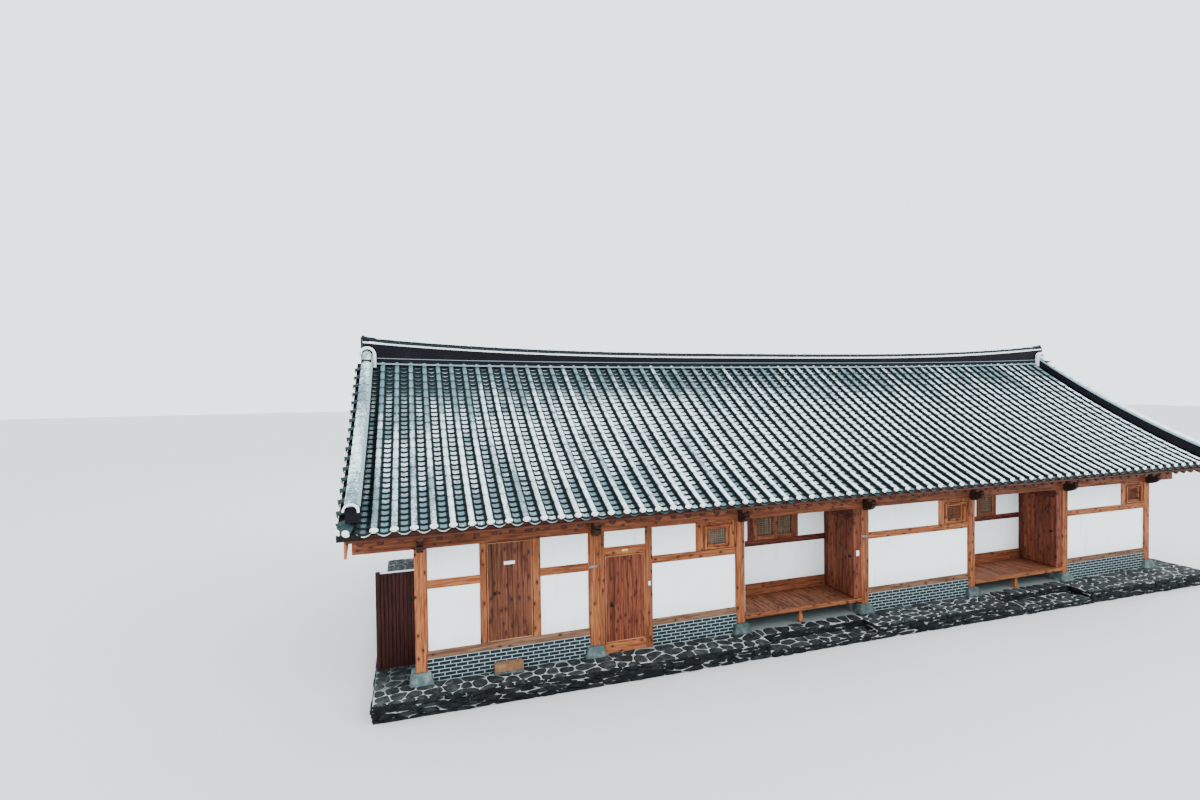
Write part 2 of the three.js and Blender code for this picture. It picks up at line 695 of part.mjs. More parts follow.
for (const [name, side, column] of [
  ["left", -1, 0],
  ["right", 1, BAYS],
]) {
  const planted = side * (OUTER - PLANTED);
  const face = side * OUTER;
  const railFace = side * (OUTER - FRAME_FACE);
  const edge = -POST_BACK - GAP;
  const members = [
    [
      [planted, POST_BACK, SILL_BOTTOM + GAP],
      [railFace, edge, SILL_TOP],
    ],
    [
      [planted, POST_BACK, RAIL_BOTTOM],
      [railFace, edge, RAIL_TOP],
    ],
    [
      [planted, PURLIN_BACK + GAP, BEAM_BOTTOM],
      [face, -PURLIN_BACK - GAP, BEAM_TOP],
    ],
    [
      [planted, -KING_HALF, BEAM_TOP],
      [railFace, KING_HALF, PURLIN_BOTTOM - GAP],
    ],
    [
      [planted, -COLLAR.half, COLLAR.bottom],
      [railFace, COLLAR.half, COLLAR.top],
    ],
    ...[-GABLE_POST_Y, GABLE_POST_Y].map((y) => [
      [planted, y - POST / 2, SILL_BOTTOM + GAP],
      [face, y + POST / 2, BEAM_TOP],
    ]),
  ];
  addPart(`${name}_gable_frame`, membersJoined([...postMembers(column), ...members]), wood);
  const wall = runAlongX(gableOutline(), side * INNER, side * (OUTER - WALL_FACE));
  addPart(`${name}_gable_wall`, grooved(wall, members), plaster);
}

// Brick base under the side and back walls, in one run around three sides
const baseOuterX = OUTER - BRICK_FACE;
const baseOuterY = REAR - BRICK_FACE;
const basePlan = [
  [-baseOuterX, POST_BACK + GAP],
  [-INNER, POST_BACK + GAP],
  [-INNER, -POST_BACK],
  [INNER, -POST_BACK],
  [INNER, POST_BACK + GAP],
  [baseOuterX, POST_BACK + GAP],
  [baseOuterX, baseOuterY],
  [-baseOuterX, baseOuterY],
];
addPart("rear_brick_base", clearOfPads(planSlab(basePlan, PLATFORM_TOP + GAP, SILL_BOTTOM)), brick);

// Rafters in one comb with the boards on them, square to their slope
function rafterComb() {
  const slope = Math.atan(RAFTER_SLOPE);
  const half = RAFTER / 2;
  const facet = RAFTER / 4;
  const flat = RAFTER / 3;
  const edge = BARGE_FACE - GAP;
  const section = [
    [edge, RAFTER + ROOF_BOARD],
    [-edge, RAFTER + ROOF_BOARD],
    [-edge, RAFTER],
  ];
  for (let index = 0; index < RAFTER_COUNT; index += 1) {
    const x = (index - (RAFTER_COUNT - 1) / 2) * RAFTER_PITCH;
    section.push([x - half, RAFTER], [x - half, flat], [x - facet, 0]);
    section.push([x + facet, 0], [x + half, flat], [x + half, RAFTER]);
  }
  section.push([edge, RAFTER]);
  const length = (RAFTER_END - MID_PURLIN) / RAFTER_COS;
  const turn = new THREE.Matrix4().makeBasis(
    new THREE.Vector3(1, 0, 0),
    new THREE.Vector3(0, -Math.sin(slope), Math.cos(slope)),
    new THREE.Vector3(0, -Math.cos(slope), -Math.sin(slope)),
  );
  return extrusion(section, length).applyMatrix4(turn).translate(0, -MID_PURLIN, rafterUnderside(MID_PURLIN));
}

addPart("rafters_front", rafterComb(), wood);
addPart("rafters_back", rafterComb(), wood).rotation.z = Math.PI;
addPart(
  "ridge_purlin",
  block([-BARGE_FACE + GAP, -PURLIN_HALF, PURLIN_BOTTOM], [BARGE_FACE - GAP, PURLIN_HALF, RIDGE_SEAT - GAP]),
  wood,
);

// Rows of cover tiles stand as ribs above the valleys of the pan tiles
const ROW = { count: 69, pitch: 302.6, halfFoot: 68, halfCrown: 34, valley: 88, nextBefore: 100 };

// Top of a slope from left to right: each place with its depth below the crests
function rowTops(centres) {
  const ribs = centres.flatMap((x) => [
    [x - ROW.halfFoot, ROW.valley],
    [x - ROW.halfCrown, 0],
    [x + ROW.halfCrown, 0],
    [x + ROW.halfFoot, ROW.valley],
  ]);
  return [[-VERGE_INNER, ROW.valley], ...ribs, [VERGE_INNER, ROW.valley]];
}

// Triangles between the top and the underside of one section, from left to right
function sectionFaces(tops, unders) {
  const faces = [];
  let top = 0;
  let under = 0;
  while (top < tops.length - 1 || under < unders.length - 1) {
    const isUnderNext = under < unders.length - 1 && tops[top + 1][0] > unders[under + 1] - ROW.nextBefore;
    if (isUnderNext) {
      faces.push([top, tops.length + under, tops.length + under + 1]);
      under += 1;
    } else {
      faces.push([top, tops.length + under, top + 1]);
      top += 1;
    }
  }
  return faces;
}

// One roof slope: a closed plate whose top follows the tile rows and whose underside lies on the boards
function roofSlope() {
  const centres = Array.from({ length: ROW.count }, (_, row) => (row - (ROW.count - 1) / 2) * ROW.pitch);
  const tops = rowTops(centres);
  const unders = [-VERGE_INNER, ...centres, VERGE_INNER];
  const places = ROOF_STATIONS.flatMap((distance) => [
    ...tops.flatMap(([x, drop]) => [x, -distance, roofCrest(x, distance) - drop]),
    ...unders.flatMap((x) => [x, -distance, roofUnderside(distance)]),
  ]);
  const size = tops.length + unders.length;
  const sideways = [...tops.keys()].slice(1).map((index) => [index - 1, index]);
  const below = [...unders.keys()].slice(1).map((index) => [tops.length + index, tops.length + index - 1]);
  const ends = [
    [tops.length, 0],
    [tops.length - 1, size - 1],
  ];
  const faces = [];
  for (let station = 1; station < ROOF_STATIONS.length; station += 1) {
    const near = (station - 1) * size;
    const far = station * size;
    for (const [a, b] of [...sideways, ...below, ...ends]) {
      faces.push(near + a, near + b, far + b, near + a, far + b, far + a);
    }
  }
  const last = (ROOF_STATIONS.length - 1) * size;
  for (const [a, b, c] of sectionFaces(tops, unders)) faces.push(a, b, c, last + a, last + c, last + b);
  const plate = new THREE.BufferGeometry();
  plate.setAttribute("position", new THREE.Float32BufferAttribute(places, 3));
  plate.setIndex(faces);
  plate.computeVertexNormals();
  return plate;
}

addPart("roof_front", roofSlope(), tile);
addPart("roof_back", roofSlope(), tile).rotation.z = Math.PI;

// Main ridge in three lengths: a wall of laid tiles that rises to a tip at each end
const RIDGE_JOINT = 5300;

function ridgeCurve(from, to, steps) {
  return Array.from({ length: steps + 1 }, (_, step) => {
    const x = from + ((to - from) * step) / steps;
    return [x, RIDGE_MIDDLE_TOP + RIDGE_RISE * (Math.abs(x) / RIDGE_TIP) ** 3];
  });
}

function ridgeLength(points) {
  return runAlongY(points, -RIDGE_HALF_WIDTH, RIDGE_HALF_WIDTH);
}

const ridgeMiddle = [
  [-RIDGE_JOINT, RIDGE_SEAT],
  [RIDGE_JOINT, RIDGE_SEAT],
  ...ridgeCurve(RIDGE_JOINT, -RIDGE_JOINT, 12),
];
const ridgeEnd = [
  [RIDGE_JOINT + GAP, RIDGE_SEAT],
  [VERGE_INNER, RIDGE_SEAT],
  [VERGE_INNER, VERGE_APEX + GAP],
  [RIDGE_TIP - 20, VERGE_APEX + 40],
  [RIDGE_TIP, RIDGE_TIP_TOP],
  ...ridgeCurve(RIDGE_TIP - 160, RIDGE_JOINT + GAP, 10),
];
addPart("main_ridge_middle", ridgeLength(ridgeMiddle), tile);
addPart("main_ridge_right", ridgeLength(ridgeEnd), tile);
addPart("main_ridge_left", ridgeLength(ridgeEnd), tile).rotation.z = Math.PI;

// Descending ridges on the verges, each with the bed of the edge tiles outside it
const VERGE_CREST = { drop: 2877, sag: 728 };

function vergeCrest(y) {
  const u = Math.abs(y) / CREST.run;
  return VERGE_APEX - VERGE_CREST.drop * u - VERGE_CREST.sag * u * (1 - u);
}

function vergeProfile(top, end, raised) {
  const stations = [GAP, ...ROOF_STATIONS.slice(0, -1).reverse()].filter((y) => y < end);
  const upper = [...stations, end].map((y) => [-y, top(y)]);
  const lower = [end, MID_PURLIN, GAP].map((y) => [-y, roofUnderside(y) + raised]);
  return [...upper, ...lower];
}

function descendingRidge(side) {
  const inner = side * (VERGE_INNER + GAP);
  const bed = runAlongX(vergeProfile((y) => roofTop(HALF_ROOF, y), EAVE, 0), inner, side * HALF_ROOF);
  const bar = runAlongX(vergeProfile(vergeCrest, VERGE_END, 40), inner, side * VERGE_BAR_OUTER);
  return join([bed, bar]);
}

addPart("front_left_ridge", descendingRidge(-1), tile);
addPart("front_right_ridge", descendingRidge(1), tile);
addPart("back_right_ridge", descendingRidge(-1), tile).rotation.z = Math.PI;
addPart("back_left_ridge", descendingRidge(1), tile).rotation.z = Math.PI;

// Bargeboards under the verges
function bargeboard(side) {
  const half = [VERGE_END, MID_PURLIN].map((y) => [y, roofUnderside(y) - GAP]);
  const apex = [0, roofUnderside(0) - GAP];
  const top = [...half, apex, ...half.map(([y, z]) => [-y, z]).reverse()];
  const bottom = top.map(([y, z]) => [y, z - BARGE_DEPTH]).reverse();
  return runAlongX([...top, ...bottom], side * BARGE_FACE, side * (BARGE_FACE + BARGE_THICKNESS));
}

addPart("left_bargeboard", bargeboard(-1), wood);
addPart("right_bargeboard", bargeboard(1), wood);

// Low board screen at the left gable
const SCREEN = { left: -10380, y: 800, top: 2100, thickness: 30, post: 80 };
const screenY = FRONT + SCREEN.y;
const screenRight = FRAME_FACE - OUTER - GAP;
addPart(
  "side_screen",
  join([
    block(
      [SCREEN.left + 5, screenY, PLATFORM_TOP + GAP],
      [screenRight, screenY + SCREEN.thickness, SCREEN.top],
    ),
    block(
      [SCREEN.left, screenY - 25, PLATFORM_TOP + GAP],
      [SCREEN.left + SCREEN.post, screenY + 55, SCREEN.top + 20],
    ),
  ]),
  redWood,
);

export default house;
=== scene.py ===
import functools
import math
import random

import bpy
import numpy as np
from bpy.props import FloatProperty, FloatVectorProperty, IntProperty, PointerProperty
from bpy.types import NodeSocket, Operator, Panel, PropertyGroup
from mathutils import Matrix, Vector


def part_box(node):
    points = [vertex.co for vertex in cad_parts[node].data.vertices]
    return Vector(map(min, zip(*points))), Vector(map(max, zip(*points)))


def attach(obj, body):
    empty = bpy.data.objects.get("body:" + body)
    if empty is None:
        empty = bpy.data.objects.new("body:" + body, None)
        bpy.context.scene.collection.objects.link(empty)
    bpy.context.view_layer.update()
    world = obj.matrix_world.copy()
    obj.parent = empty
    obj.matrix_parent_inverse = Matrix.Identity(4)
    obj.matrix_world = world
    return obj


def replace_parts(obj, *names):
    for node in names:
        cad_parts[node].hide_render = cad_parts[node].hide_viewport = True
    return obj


bl_info = {
    "name": "Hanok House",
    "version": (1, 0, 0),
    "blender": (4, 5, 0),
    "location": "View3D > Sidebar > Hanok",
    "description": "Dresses the solids of a tiled timber house with tiles, boards, bricks and stones",
    "category": "Object",
}

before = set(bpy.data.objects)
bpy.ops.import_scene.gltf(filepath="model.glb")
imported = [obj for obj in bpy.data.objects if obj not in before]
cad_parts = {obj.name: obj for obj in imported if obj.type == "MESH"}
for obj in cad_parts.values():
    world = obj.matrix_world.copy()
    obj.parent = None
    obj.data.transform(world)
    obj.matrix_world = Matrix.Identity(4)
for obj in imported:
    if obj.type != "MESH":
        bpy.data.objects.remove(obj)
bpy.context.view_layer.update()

# Places shared with the solids, in metres: X along the front, Y to the back, Z up
BAY = 3.2
COLUMNS = [(index - 3) * BAY for index in range(7)]
FRONT = -3.77
POST = 0.2
PAD_TOP = 0.5
PLATFORM_TOP = 0.3
SILL = (0.71, 0.85)
RAIL = (1.96, 2.11)
BEAM = (2.68, 2.92)
DOOR_2_TOP = 2.21
LINTEL_TOP = 2.37
PORCH_FLOOR_TOP = 0.65
PORCH_WALL_FACE = -2.76
PORCH_BAYS = (2, 4)
PORCH_SIDE = 0.304
EAVE = 4.7
HALF_ROOF = 10.9
VERGE_INNER = 10.48
VERGE_OUTER = 10.74
RIDGE_TIP = 10.76
MID_PURLIN = 1.885
RAFTER_SLOPE = 0.47
RAFTER_END = 4.57
RAFTER = 0.11
OUTER = 9.7
POST_AXIS = -3.67
FRAME_FACE = 0.015
FRAME_BACK = 0.165
RAIL_BACK = 0.09
PORCH_DOOR_TOP = 2.47
VERGE_BOARD = 10.7
PLATFORM = {"left": -10.39, "right": 10.67, "back": 4.3, "front": -4.27, "askew": -0.35}
BRICK_INSET = 0.02
STEP_BACK = -4.05
STEP_TOP = 0.14
DOOR_STEP_BED = 0.345
RAFTERS = 71
RAFTER_STEP = 0.3
TILE_ROWS = 69

# Form of the roof: a slope's run, top, fall and sag, then how its ends and its ridges rise
SLOPE_RUN = 4.888
SLOPE_TOP = 6.073
SLOPE_FALL = 2.877
SLOPE_SAG = 0.728
END_RISE = 0.120
END_RISE_LOST = 0.080
VERGE_RISE = 0.369
RIDGE_MIDDLE = 6.375
RIDGE_TIP_RISE = 0.325
RAFTER_END_HEIGHT = 3.015
RAFTER_AND_BOARD = 0.135
TOP_UNDERSIDE = 5.64

# Distances from the ridge: where the solid slopes bend, and where rows of tiles start and end
BENDS = [0.0, 0.45, 0.9, 1.4, MID_PURLIN, 2.5, 3.15, 3.75, 4.3]
RIDGE_FOOT = 0.13
COVER_END = EAVE - 0.065
PLUG_PLACE = EAVE - 0.023
LIP_PLACE = EAVE - 0.062
RIDGE_END = RIDGE_TIP - 0.16
RIDGE_LINE_END = RIDGE_TIP - 0.05
VERGE_END = 4.50
VERGE_CAP_END = 4.52

# Across the verge: the inner face of a descending ridge, and the middle of its cap
VERGE_FACE = VERGE_INNER + 0.01
VERGE_AXIS = VERGE_OUTER - 0.11

# The camera as fitted to the photograph: turns in degrees, and measures in its pixels
CAMERA_TURN = (17.967, -1.124, -0.70)
CAMERA_PLACE = (-9.715, -14.462, 5.506)
CAMERA_FOCUS = 586.27
CAMERA_MIDDLE = 397.22
PICTURE = (1200, 800)
FILM = 36.0


def platform_front(x):
    """The front edge of the platform, which runs a little askew of the house."""
    share = (x - PLATFORM["left"]) / (PLATFORM["right"] - PLATFORM["left"])
    return PLATFORM["front"] + PLATFORM["askew"] * share


def tile_crest(y):
    """Height of the tops of the tile rows at a distance from the ridge."""
    share = abs(y) / SLOPE_RUN
    return SLOPE_TOP - SLOPE_FALL * share - SLOPE_SAG * share * (1 - share)


def end_lift(x, y):
    """How far the roof rises towards its two ends."""
    return (END_RISE - END_RISE_LOST * abs(y) / EAVE) * (abs(x) / HALF_ROOF) ** 3


def verge_crest(y):
    """Height of the top of a descending ridge."""
    return tile_crest(y) + VERGE_RISE


def rafter_underside(y):
    """Height of the undersides of the rafters at a distance from the ridge."""
    return RAFTER_END_HEIGHT + (RAFTER_END - abs(y)) * RAFTER_SLOPE


def board_top(y):
    return rafter_underside(y) + RAFTER_AND_BOARD * math.hypot(1, RAFTER_SLOPE)


def roof_underside(y):
    """Height of what the bed of the tiles lies on: the boards, and above them a straight slope."""
    distance = abs(y)
    if distance >= MID_PURLIN:
        return board_top(y)
    share = (MID_PURLIN - distance) / (MID_PURLIN - RIDGE_FOOT)
    return board_top(MID_PURLIN) + share * (TOP_UNDERSIDE - board_top(MID_PURLIN))


def ridge_top(x):
    return RIDGE_MIDDLE + RIDGE_TIP_RISE * (abs(x) / RIDGE_TIP) ** 3


def slope_stations(start, end, step):
    """Points down a slope, a step apart along the curve: distance from the ridge and tilt."""
    distances = np.linspace(start, end, 2000)
    heights = np.array([tile_crest(d) for d in distances])
    along = np.concatenate([[0], np.cumsum(np.hypot(np.diff(distances), np.diff(heights)))])
    wanted = np.arange(0, along[-1] + 1e-6, step)
    places = np.interp(wanted, along, distances)
    tilts = [math.atan2(tile_crest(d - 0.01) - tile_crest(d + 0.01), 0.02) for d in places]
    return list(zip(places, tilts))


# Settings that a user would change


def colour(name, description, value):
    return FloatVectorProperty(
        name=name, description=description, default=value, subtype="COLOR", size=3, min=0, max=1
    )


def length(name, description, value):
    return FloatProperty(name=name, description=description, default=value, min=0, unit="LENGTH")


class HanokStageSettings(PropertyGroup):
    sky: FloatProperty(name="Sky", description="Strength of the even light", default=2.7, min=0)
    lamp: FloatProperty(
        name="Lamp", description="Power of the large soft lamp", default=4200, min=0, unit="POWER"
    )
    floor: colour("Floor", "Colour of the studio floor", (0.70, 0.70, 0.69))


class HanokRoofSettings(PropertyGroup):
    row_step: length("Row step", "From one row of cover tiles to the next", 0.3026)
    pan_step: length("Pan step", "Exposed length of a pan tile", 0.15)
    cover_step: length("Cover step", "Exposed length of a cover tile", 0.30)
    cover_radius: length("Cover radius", "Outer radius of a cover tile", 0.07)
    glaze: colour("Tile", "Colour of bare tile", (0.0035, 0.008, 0.009))
    frost: colour("Frost", "Colour of the frost on the tiles", (0.81, 0.95, 0.98))
    lime: colour("Lime", "Colour of the lime plugs and beds", (0.84, 0.86, 0.86))
    ridge: colour("Ridge", "Colour of the stacked ridge tiles", (0.006, 0.005, 0.009))
    seed: IntProperty(name="Seed", description="Chooses the small differences", default=7, min=0)


class HanokTimberSettings(PropertyGroup):
    pale: colour("Pale pine", "Lightest colour of the posts and rails", (0.36, 0.125, 0.045))
    deep: colour("Deep pine", "Darkest grain of the posts and rails", (0.115, 0.030, 0.011))
    knot: colour("Knot", "Colour of the knots", (0.026, 0.010, 0.007))
    red_pale: colour("Pale red board", "Lightest colour of the board walls", (0.125, 0.028, 0.013))
    red_deep: colour("Deep red board", "Darkest grain of the board walls", (0.028, 0.0065, 0.0045))
    edge: length("Eased edge", "Width of the eased edges of the timbers", 0.006)


class HanokWallSettings(PropertyGroup):
    plaster: colour("Plaster", "Colour of the plastered panels", (0.95, 0.985, 1.0))
    brick: colour("Brick", "Colour of the bricks", (0.007, 0.013, 0.017))
    mortar: colour("Mortar", "Colour of the joints", (0.33, 0.42, 0.43))
    brick_step: length("Brick step", "From one brick to the next", 0.2)
    course: length("Course", "From one course of bricks to the next", 0.0672)
    joint: length("Joint", "Width of the joints", 0.014)


class HanokStoneSettings(PropertyGroup):
    size: length("Stone", "Usual width of a stone", 0.27)
    joint: length("Joint", "Width of the joints between stones", 0.020)
    stone: colour("Stone", "Colour of the laid stones", (0.008, 0.010, 0.011))
    granite: colour("Granite", "Colour of the pads under the posts", (0.060, 0.088, 0.088))
    seed: IntProperty(name="Seed", description="Chooses the pattern of stones", default=11, min=0)


class HanokDoorSettings(PropertyGroup):
    plank: length("Plank", "Width of a plank of the doors", 0.098)
    iron: colour("Iron", "Colour of the handles and hinges", (0.012, 0.012, 0.013))
    plate: colour("Plate", "Colour of the bare plates and switches", (0.82, 0.83, 0.82))
    brass: colour("Small plate", "Colour of the small plate over the second door", (0.62, 0.50, 0.16))


class HanokWindowSettings(PropertyGroup):
    bars_across: IntProperty(name="Upright bars", description="Upright bars in a sash", default=8, min=1)
    bars_up: IntProperty(name="Level bars", description="Level bars in a sash", default=7, min=1)
    bar: length("Bar", "Thickness of a lattice bar", 0.011)
    paper: colour("Paper", "Colour of the paper behind the lattice", (0.055, 0.055, 0.045))


SETTINGS = {
    "hanok_stage": HanokStageSettings,
    "hanok_roof": HanokRoofSettings,
    "hanok_timber": HanokTimberSettings,
    "hanok_wall": HanokWallSettings,
    "hanok_stone": HanokStoneSettings,
    "hanok_door": HanokDoorSettings,
    "hanok_window": HanokWindowSettings,
}


# Materials


def add_node(tree, kind, inputs=None, **settings):
    made = tree.nodes.new(kind)
    for key, value in settings.items():
        setattr(made, key, value)
    for key, value in (inputs or {}).items():
        if isinstance(value, NodeSocket):
            tree.links.new(value, made.inputs[key])
        else:
            made.inputs[key].default_value = value
    return made


def scaled(base, share):
    """A colour made darker or lighter."""
    return tuple(share * value for value in base)


class Finish:
    """One material: its shader and short names for the nodes that feed it."""

    def __init__(self, name, roughness=0.7):
        self.material = bpy.data.materials.new(name)
        self.material.use_nodes = True
        self.tree = self.material.node_tree
        self.shader = self.tree.nodes["Principled BSDF"]
        self.shader.inputs["Roughness"].default_value = roughness
        self.shader.inputs["Specular IOR Level"].default_value = 0.15

    def feed(self, name, socket):
        self.tree.links.new(socket, self.shader.inputs[name])

    def here(self):
        return add_node(self.tree, "ShaderNodeTexCoord").outputs["Object"]

    def facing_up(self):
        """How far the surface faces up: 1 where it is level, 0 where it is upright."""
        return self.split(add_node(self.tree, "ShaderNodeNewGeometry").outputs["Normal"])[2]

    def attribute(self, name, output="Vector"):
        return add_node(self.tree, "ShaderNodeAttribute", attribute_name=name).outputs[output]

    def split(self, vector):
        return add_node(self.tree, "ShaderNodeSeparateXYZ", {0: vector}).outputs

    def join(self, x, y, z=0.0):
        return add_node(self.tree, "ShaderNodeCombineXYZ", {0: x, 1: y, 2: z}).outputs[0]

    def math(self, operation, first, second=0.0, third=0.0):
        inputs = {0: first, 1: second, 2: third}
        return add_node(self.tree, "ShaderNodeMath", inputs, operation=operation).outputs[0]

    def times(self, first, second, added=0.0):
        return self.math("MULTIPLY_ADD", first, second, added)

    def plus(self, first, second):
        return self.math("ADD", first, second)

    def stretch(self, vector, scale):
        inputs = {"Vector": vector, "Scale": scale}
        return add_node(self.tree, "ShaderNodeMapping", inputs).outputs[0]

    def noise(self, vector, scale, detail, roughness=0.55, distortion=0.0):
        inputs = {
            "Vector": vector,
            "Scale": scale,
            "Detail": detail,
            "Roughness": roughness,
            "Distortion": distortion,
        }
        return add_node(self.tree, "ShaderNodeTexNoise", inputs).outputs["Fac"]

    def between(self, value, low, high, new_low=0.0, new_high=1.0):
        inputs = {0: value, 1: low, 2: high, 3: new_low, 4: new_high}
        made = add_node(self.tree, "ShaderNodeMapRange", inputs, interpolation_type="SMOOTHSTEP", clamp=True)
        return made.outputs[0]

    def blend(self, share, first, second):
        made = add_node(self.tree, "ShaderNodeMix", data_type="RGBA")
        for index, value in ((0, share), (6, first), (7, second)):
            if isinstance(value, NodeSocket):
                self.tree.links.new(value, made.inputs[index])
            elif index == 0:
                made.inputs[index].default_value = value
            else:
                made.inputs[index].default_value = (*value[:3], 1)
        return made.outputs[2]

    def tint(self, colour_socket, value):
        inputs = {"Color": colour_socket, "Value": value}
        return add_node(self.tree, "ShaderNodeHueSaturation", inputs).outputs[0]

    def bump(self, height, strength, distance):
        inputs = {"Height": height, "Strength": strength, "Distance": distance}
        self.feed("Normal", add_node(self.tree, "ShaderNodeBump", inputs).outputs[0])


def timber_finish(name, pale, deep, knot_share, knot):
    """Sawn pine: streaks and fine lines along each board, with dark knots."""
    finish = Finish(name)
    along, across, tone = finish.split(finish.attribute("grain"))
    shifted = finish.times(tone, 17.0, along)
    wide = finish.join(shifted, finish.times(across, 16.0), tone)
    streaks = finish.noise(wide, 1.7, 5, 0.6, 0.8)
    fine = finish.join(finish.times(shifted, 5.0), finish.times(across, 190.0))
    lines = finish.noise(fine, 1.0, 3)
    knot_place = finish.join(
        finish.times(tone, 11.0, finish.math("DIVIDE", along, 0.23)),
        finish.times(tone, 7.0, finish.math("DIVIDE", across, 0.13)),
    )
    inputs = {"Vector": knot_place, "Scale": 1.0}
    cells = add_node(finish.tree, "ShaderNodeTexVoronoi", inputs, voronoi_dimensions="2D")
    chosen = finish.math("LESS_THAN", finish.split(cells.outputs["Color"])[0], knot_share)
    wobble = finish.times(finish.noise(finish.here(), 26.0, 2), 0.12, cells.outputs["Distance"])
    spot = finish.times(finish.between(wobble, 0.14, 0.20, 1, 0), chosen)
    halo = finish.times(finish.between(wobble, 0.14, 0.42, 0.85, 0), chosen)
    base = finish.blend(finish.between(streaks, 0.34, 0.68), pale, deep)
    base = finish.blend(finish.between(lines, 0.42, 0.62, 0, 0.42), base, deep)
    base = finish.blend(halo, base, deep)
    base = finish.blend(spot, base, knot)
    value = finish.times(finish.math("FRACT", finish.times(tone, 7.31)), 0.42, 0.80)
    finish.feed("Base Color", finish.tint(base, value))
    finish.feed("Roughness", finish.between(streaks, 0.3, 0.7, 0.52, 0.74))
    height = finish.plus(finish.times(lines, 0.5), finish.times(spot, -0.6))
    finish.bump(height, 0.35, 0.004)
    return finish.material


def tile_finish(name, glaze, frost, edge, facing=(0.25, 0.45), lift=0.0, fade=0.0, right_gain=0.0, pan=False):
    """Fired tile, near black, with frost along the middle of each tile where it faces the sky; its sides, and
    the lower edges of pans, are painted darker as shade.
    """
    finish = Finish(name, 0.6)
    here = finish.here()
    tone = finish.attribute("tone", "Fac")
    across, up, end = finish.split(finish.attribute("spot"))
    skyward = finish.between(finish.facing_up(), *facing)
    spread = (1.0, 1.0, 1.0) if pan else (2.6, 0.5, 0.5)
    patches = finish.noise(finish.stretch(here, spread), 0.9, 4, 0.6)
    specks = finish.noise(here, 30.0, 5, 0.7)
    left, _, height = finish.split(here)
    ragged = finish.times(specks, 0.2, across)
    level = finish.times(tone, 0.2 if pan else 0.05, lift)
    level = finish.times(patches, 1.9, level)
    level = finish.plus(level, finish.between(specks, 0.35, 0.65, -0.2, 0.2))
    dull = (0.125, 0.21, 0.23)
    dim_colour = glaze if pan else scaled(dull, 0.16)
    # Thinner frost at the left end and towards the ridge, and more and wider frost towards the right
    if fade:
        level = finish.plus(level, finish.between(left, -10.6, -7.0, -0.25, 0))
        level = finish.plus(level, finish.between(height, 4.7, 5.8, 0, -fade))
    if right_gain:
        level = finish.plus(level, finish.between(left, -8.0, 8.0, 0, right_gain))
        ragged = finish.plus(ragged, finish.between(left, -8.0, 8.0, 0, -right_gain / 2))
    # Frost keeps to the middle of each tile; on pans the sides beside the covers are left bare as painted
    # shade
    middle = finish.between(ragged, edge, edge + 0.14, 1, 0)
    # On pans the frost stops short of the lower edge, which is left dark as painted shadow under the lip;
    # high up it lies only along the rim as a pale painted highlight; and none lies in the corner channel
    # inside each verge, which is left dark as painted shadow
    if pan:
        level = finish.plus(level, finish.between(height, 3.4, 4.0, -0.35, 0))
        # The channel inside each verge is kept dark as the painted shadow of the descending ridge, half
        # frosted on its open side
        verge = finish.math("ABSOLUTE", left)
        open_side = finish.between(verge, 10.40, 10.43, 0, 0.5)
        clear = finish.math("MAXIMUM", finish.between(verge, 10.26, 10.30, 1, 0), open_side)
        middle = finish.times(middle, clear)
        # Roughened distance from the lower edge: below it a dark band of painted shadow under the lip, and
        # near the ridge a pale rim of painted highlight
        worn = finish.times(specks, 0.05, up)
        lip = finish.between(worn, 0.175, 0.205)
        rim = finish.between(worn, 0.20, 0.24, 0.9, 0)
        bare = finish.between(finish.times(patches, 0.5, height), 5.35, 5.75)
        level = finish.times(bare, 0.3, level)
        lip = finish.times(lip, finish.math("SUBTRACT", 1.0, bare))
        middle = finish.times(middle, finish.math("MAXIMUM", lip, finish.times(rim, bare)))
        dim_colour = finish.blend(bare, glaze, (0.011, 0.022, 0.025))
    else:
        skyward = finish.math("MAXIMUM", skyward, finish.between(end, 0.985, 0.995, 0, 0.8))
    share = finish.times(middle, skyward)
    # The body runs from the dim colour in the middle to bare glaze at the sides: painted shade on the flanks
    body = finish.blend(finish.between(ragged, edge + 0.1, 0.9), dim_colour, glaze)
    lying = finish.blend(finish.between(level, 0.70, 1.12), dull, frost)
    finish.feed("Base Color", finish.blend(share, body, lying))
    finish.feed("Roughness", finish.between(share, 0, 1, 0.5, 0.9))
    finish.bump(finish.plus(specks, finish.times(share, 0.8)), 0.4, 0.004)
    return finish.material


def lime_finish(name, base, stain, rough=0.85, far=None):
    """Lime or mortar, with faint stains, a trowelled surface and a far colour beyond the left end."""
    finish = Finish(name, rough)
    here = finish.here()
    clouds = finish.noise(here, 1.7, 4)
    grit = finish.noise(here, 60.0, 5, 0.65)
    shade = finish.blend(finish.between(clouds, 0.5, 0.8, 0, 0.35), base, stain)
    if far:
        shade = finish.blend(finish.between(finish.split(here)[0], -9.0, -6.0), shade, far)
    finish.feed("Base Color", finish.blend(finish.between(grit, 0.55, 0.8, 0, 0.25), shade, stain))
    finish.feed("Roughness", finish.between(grit, 0.3, 0.7, rough - 0.08, rough + 0.06))
    finish.bump(grit, 0.25, 0.003)
    return finish.material


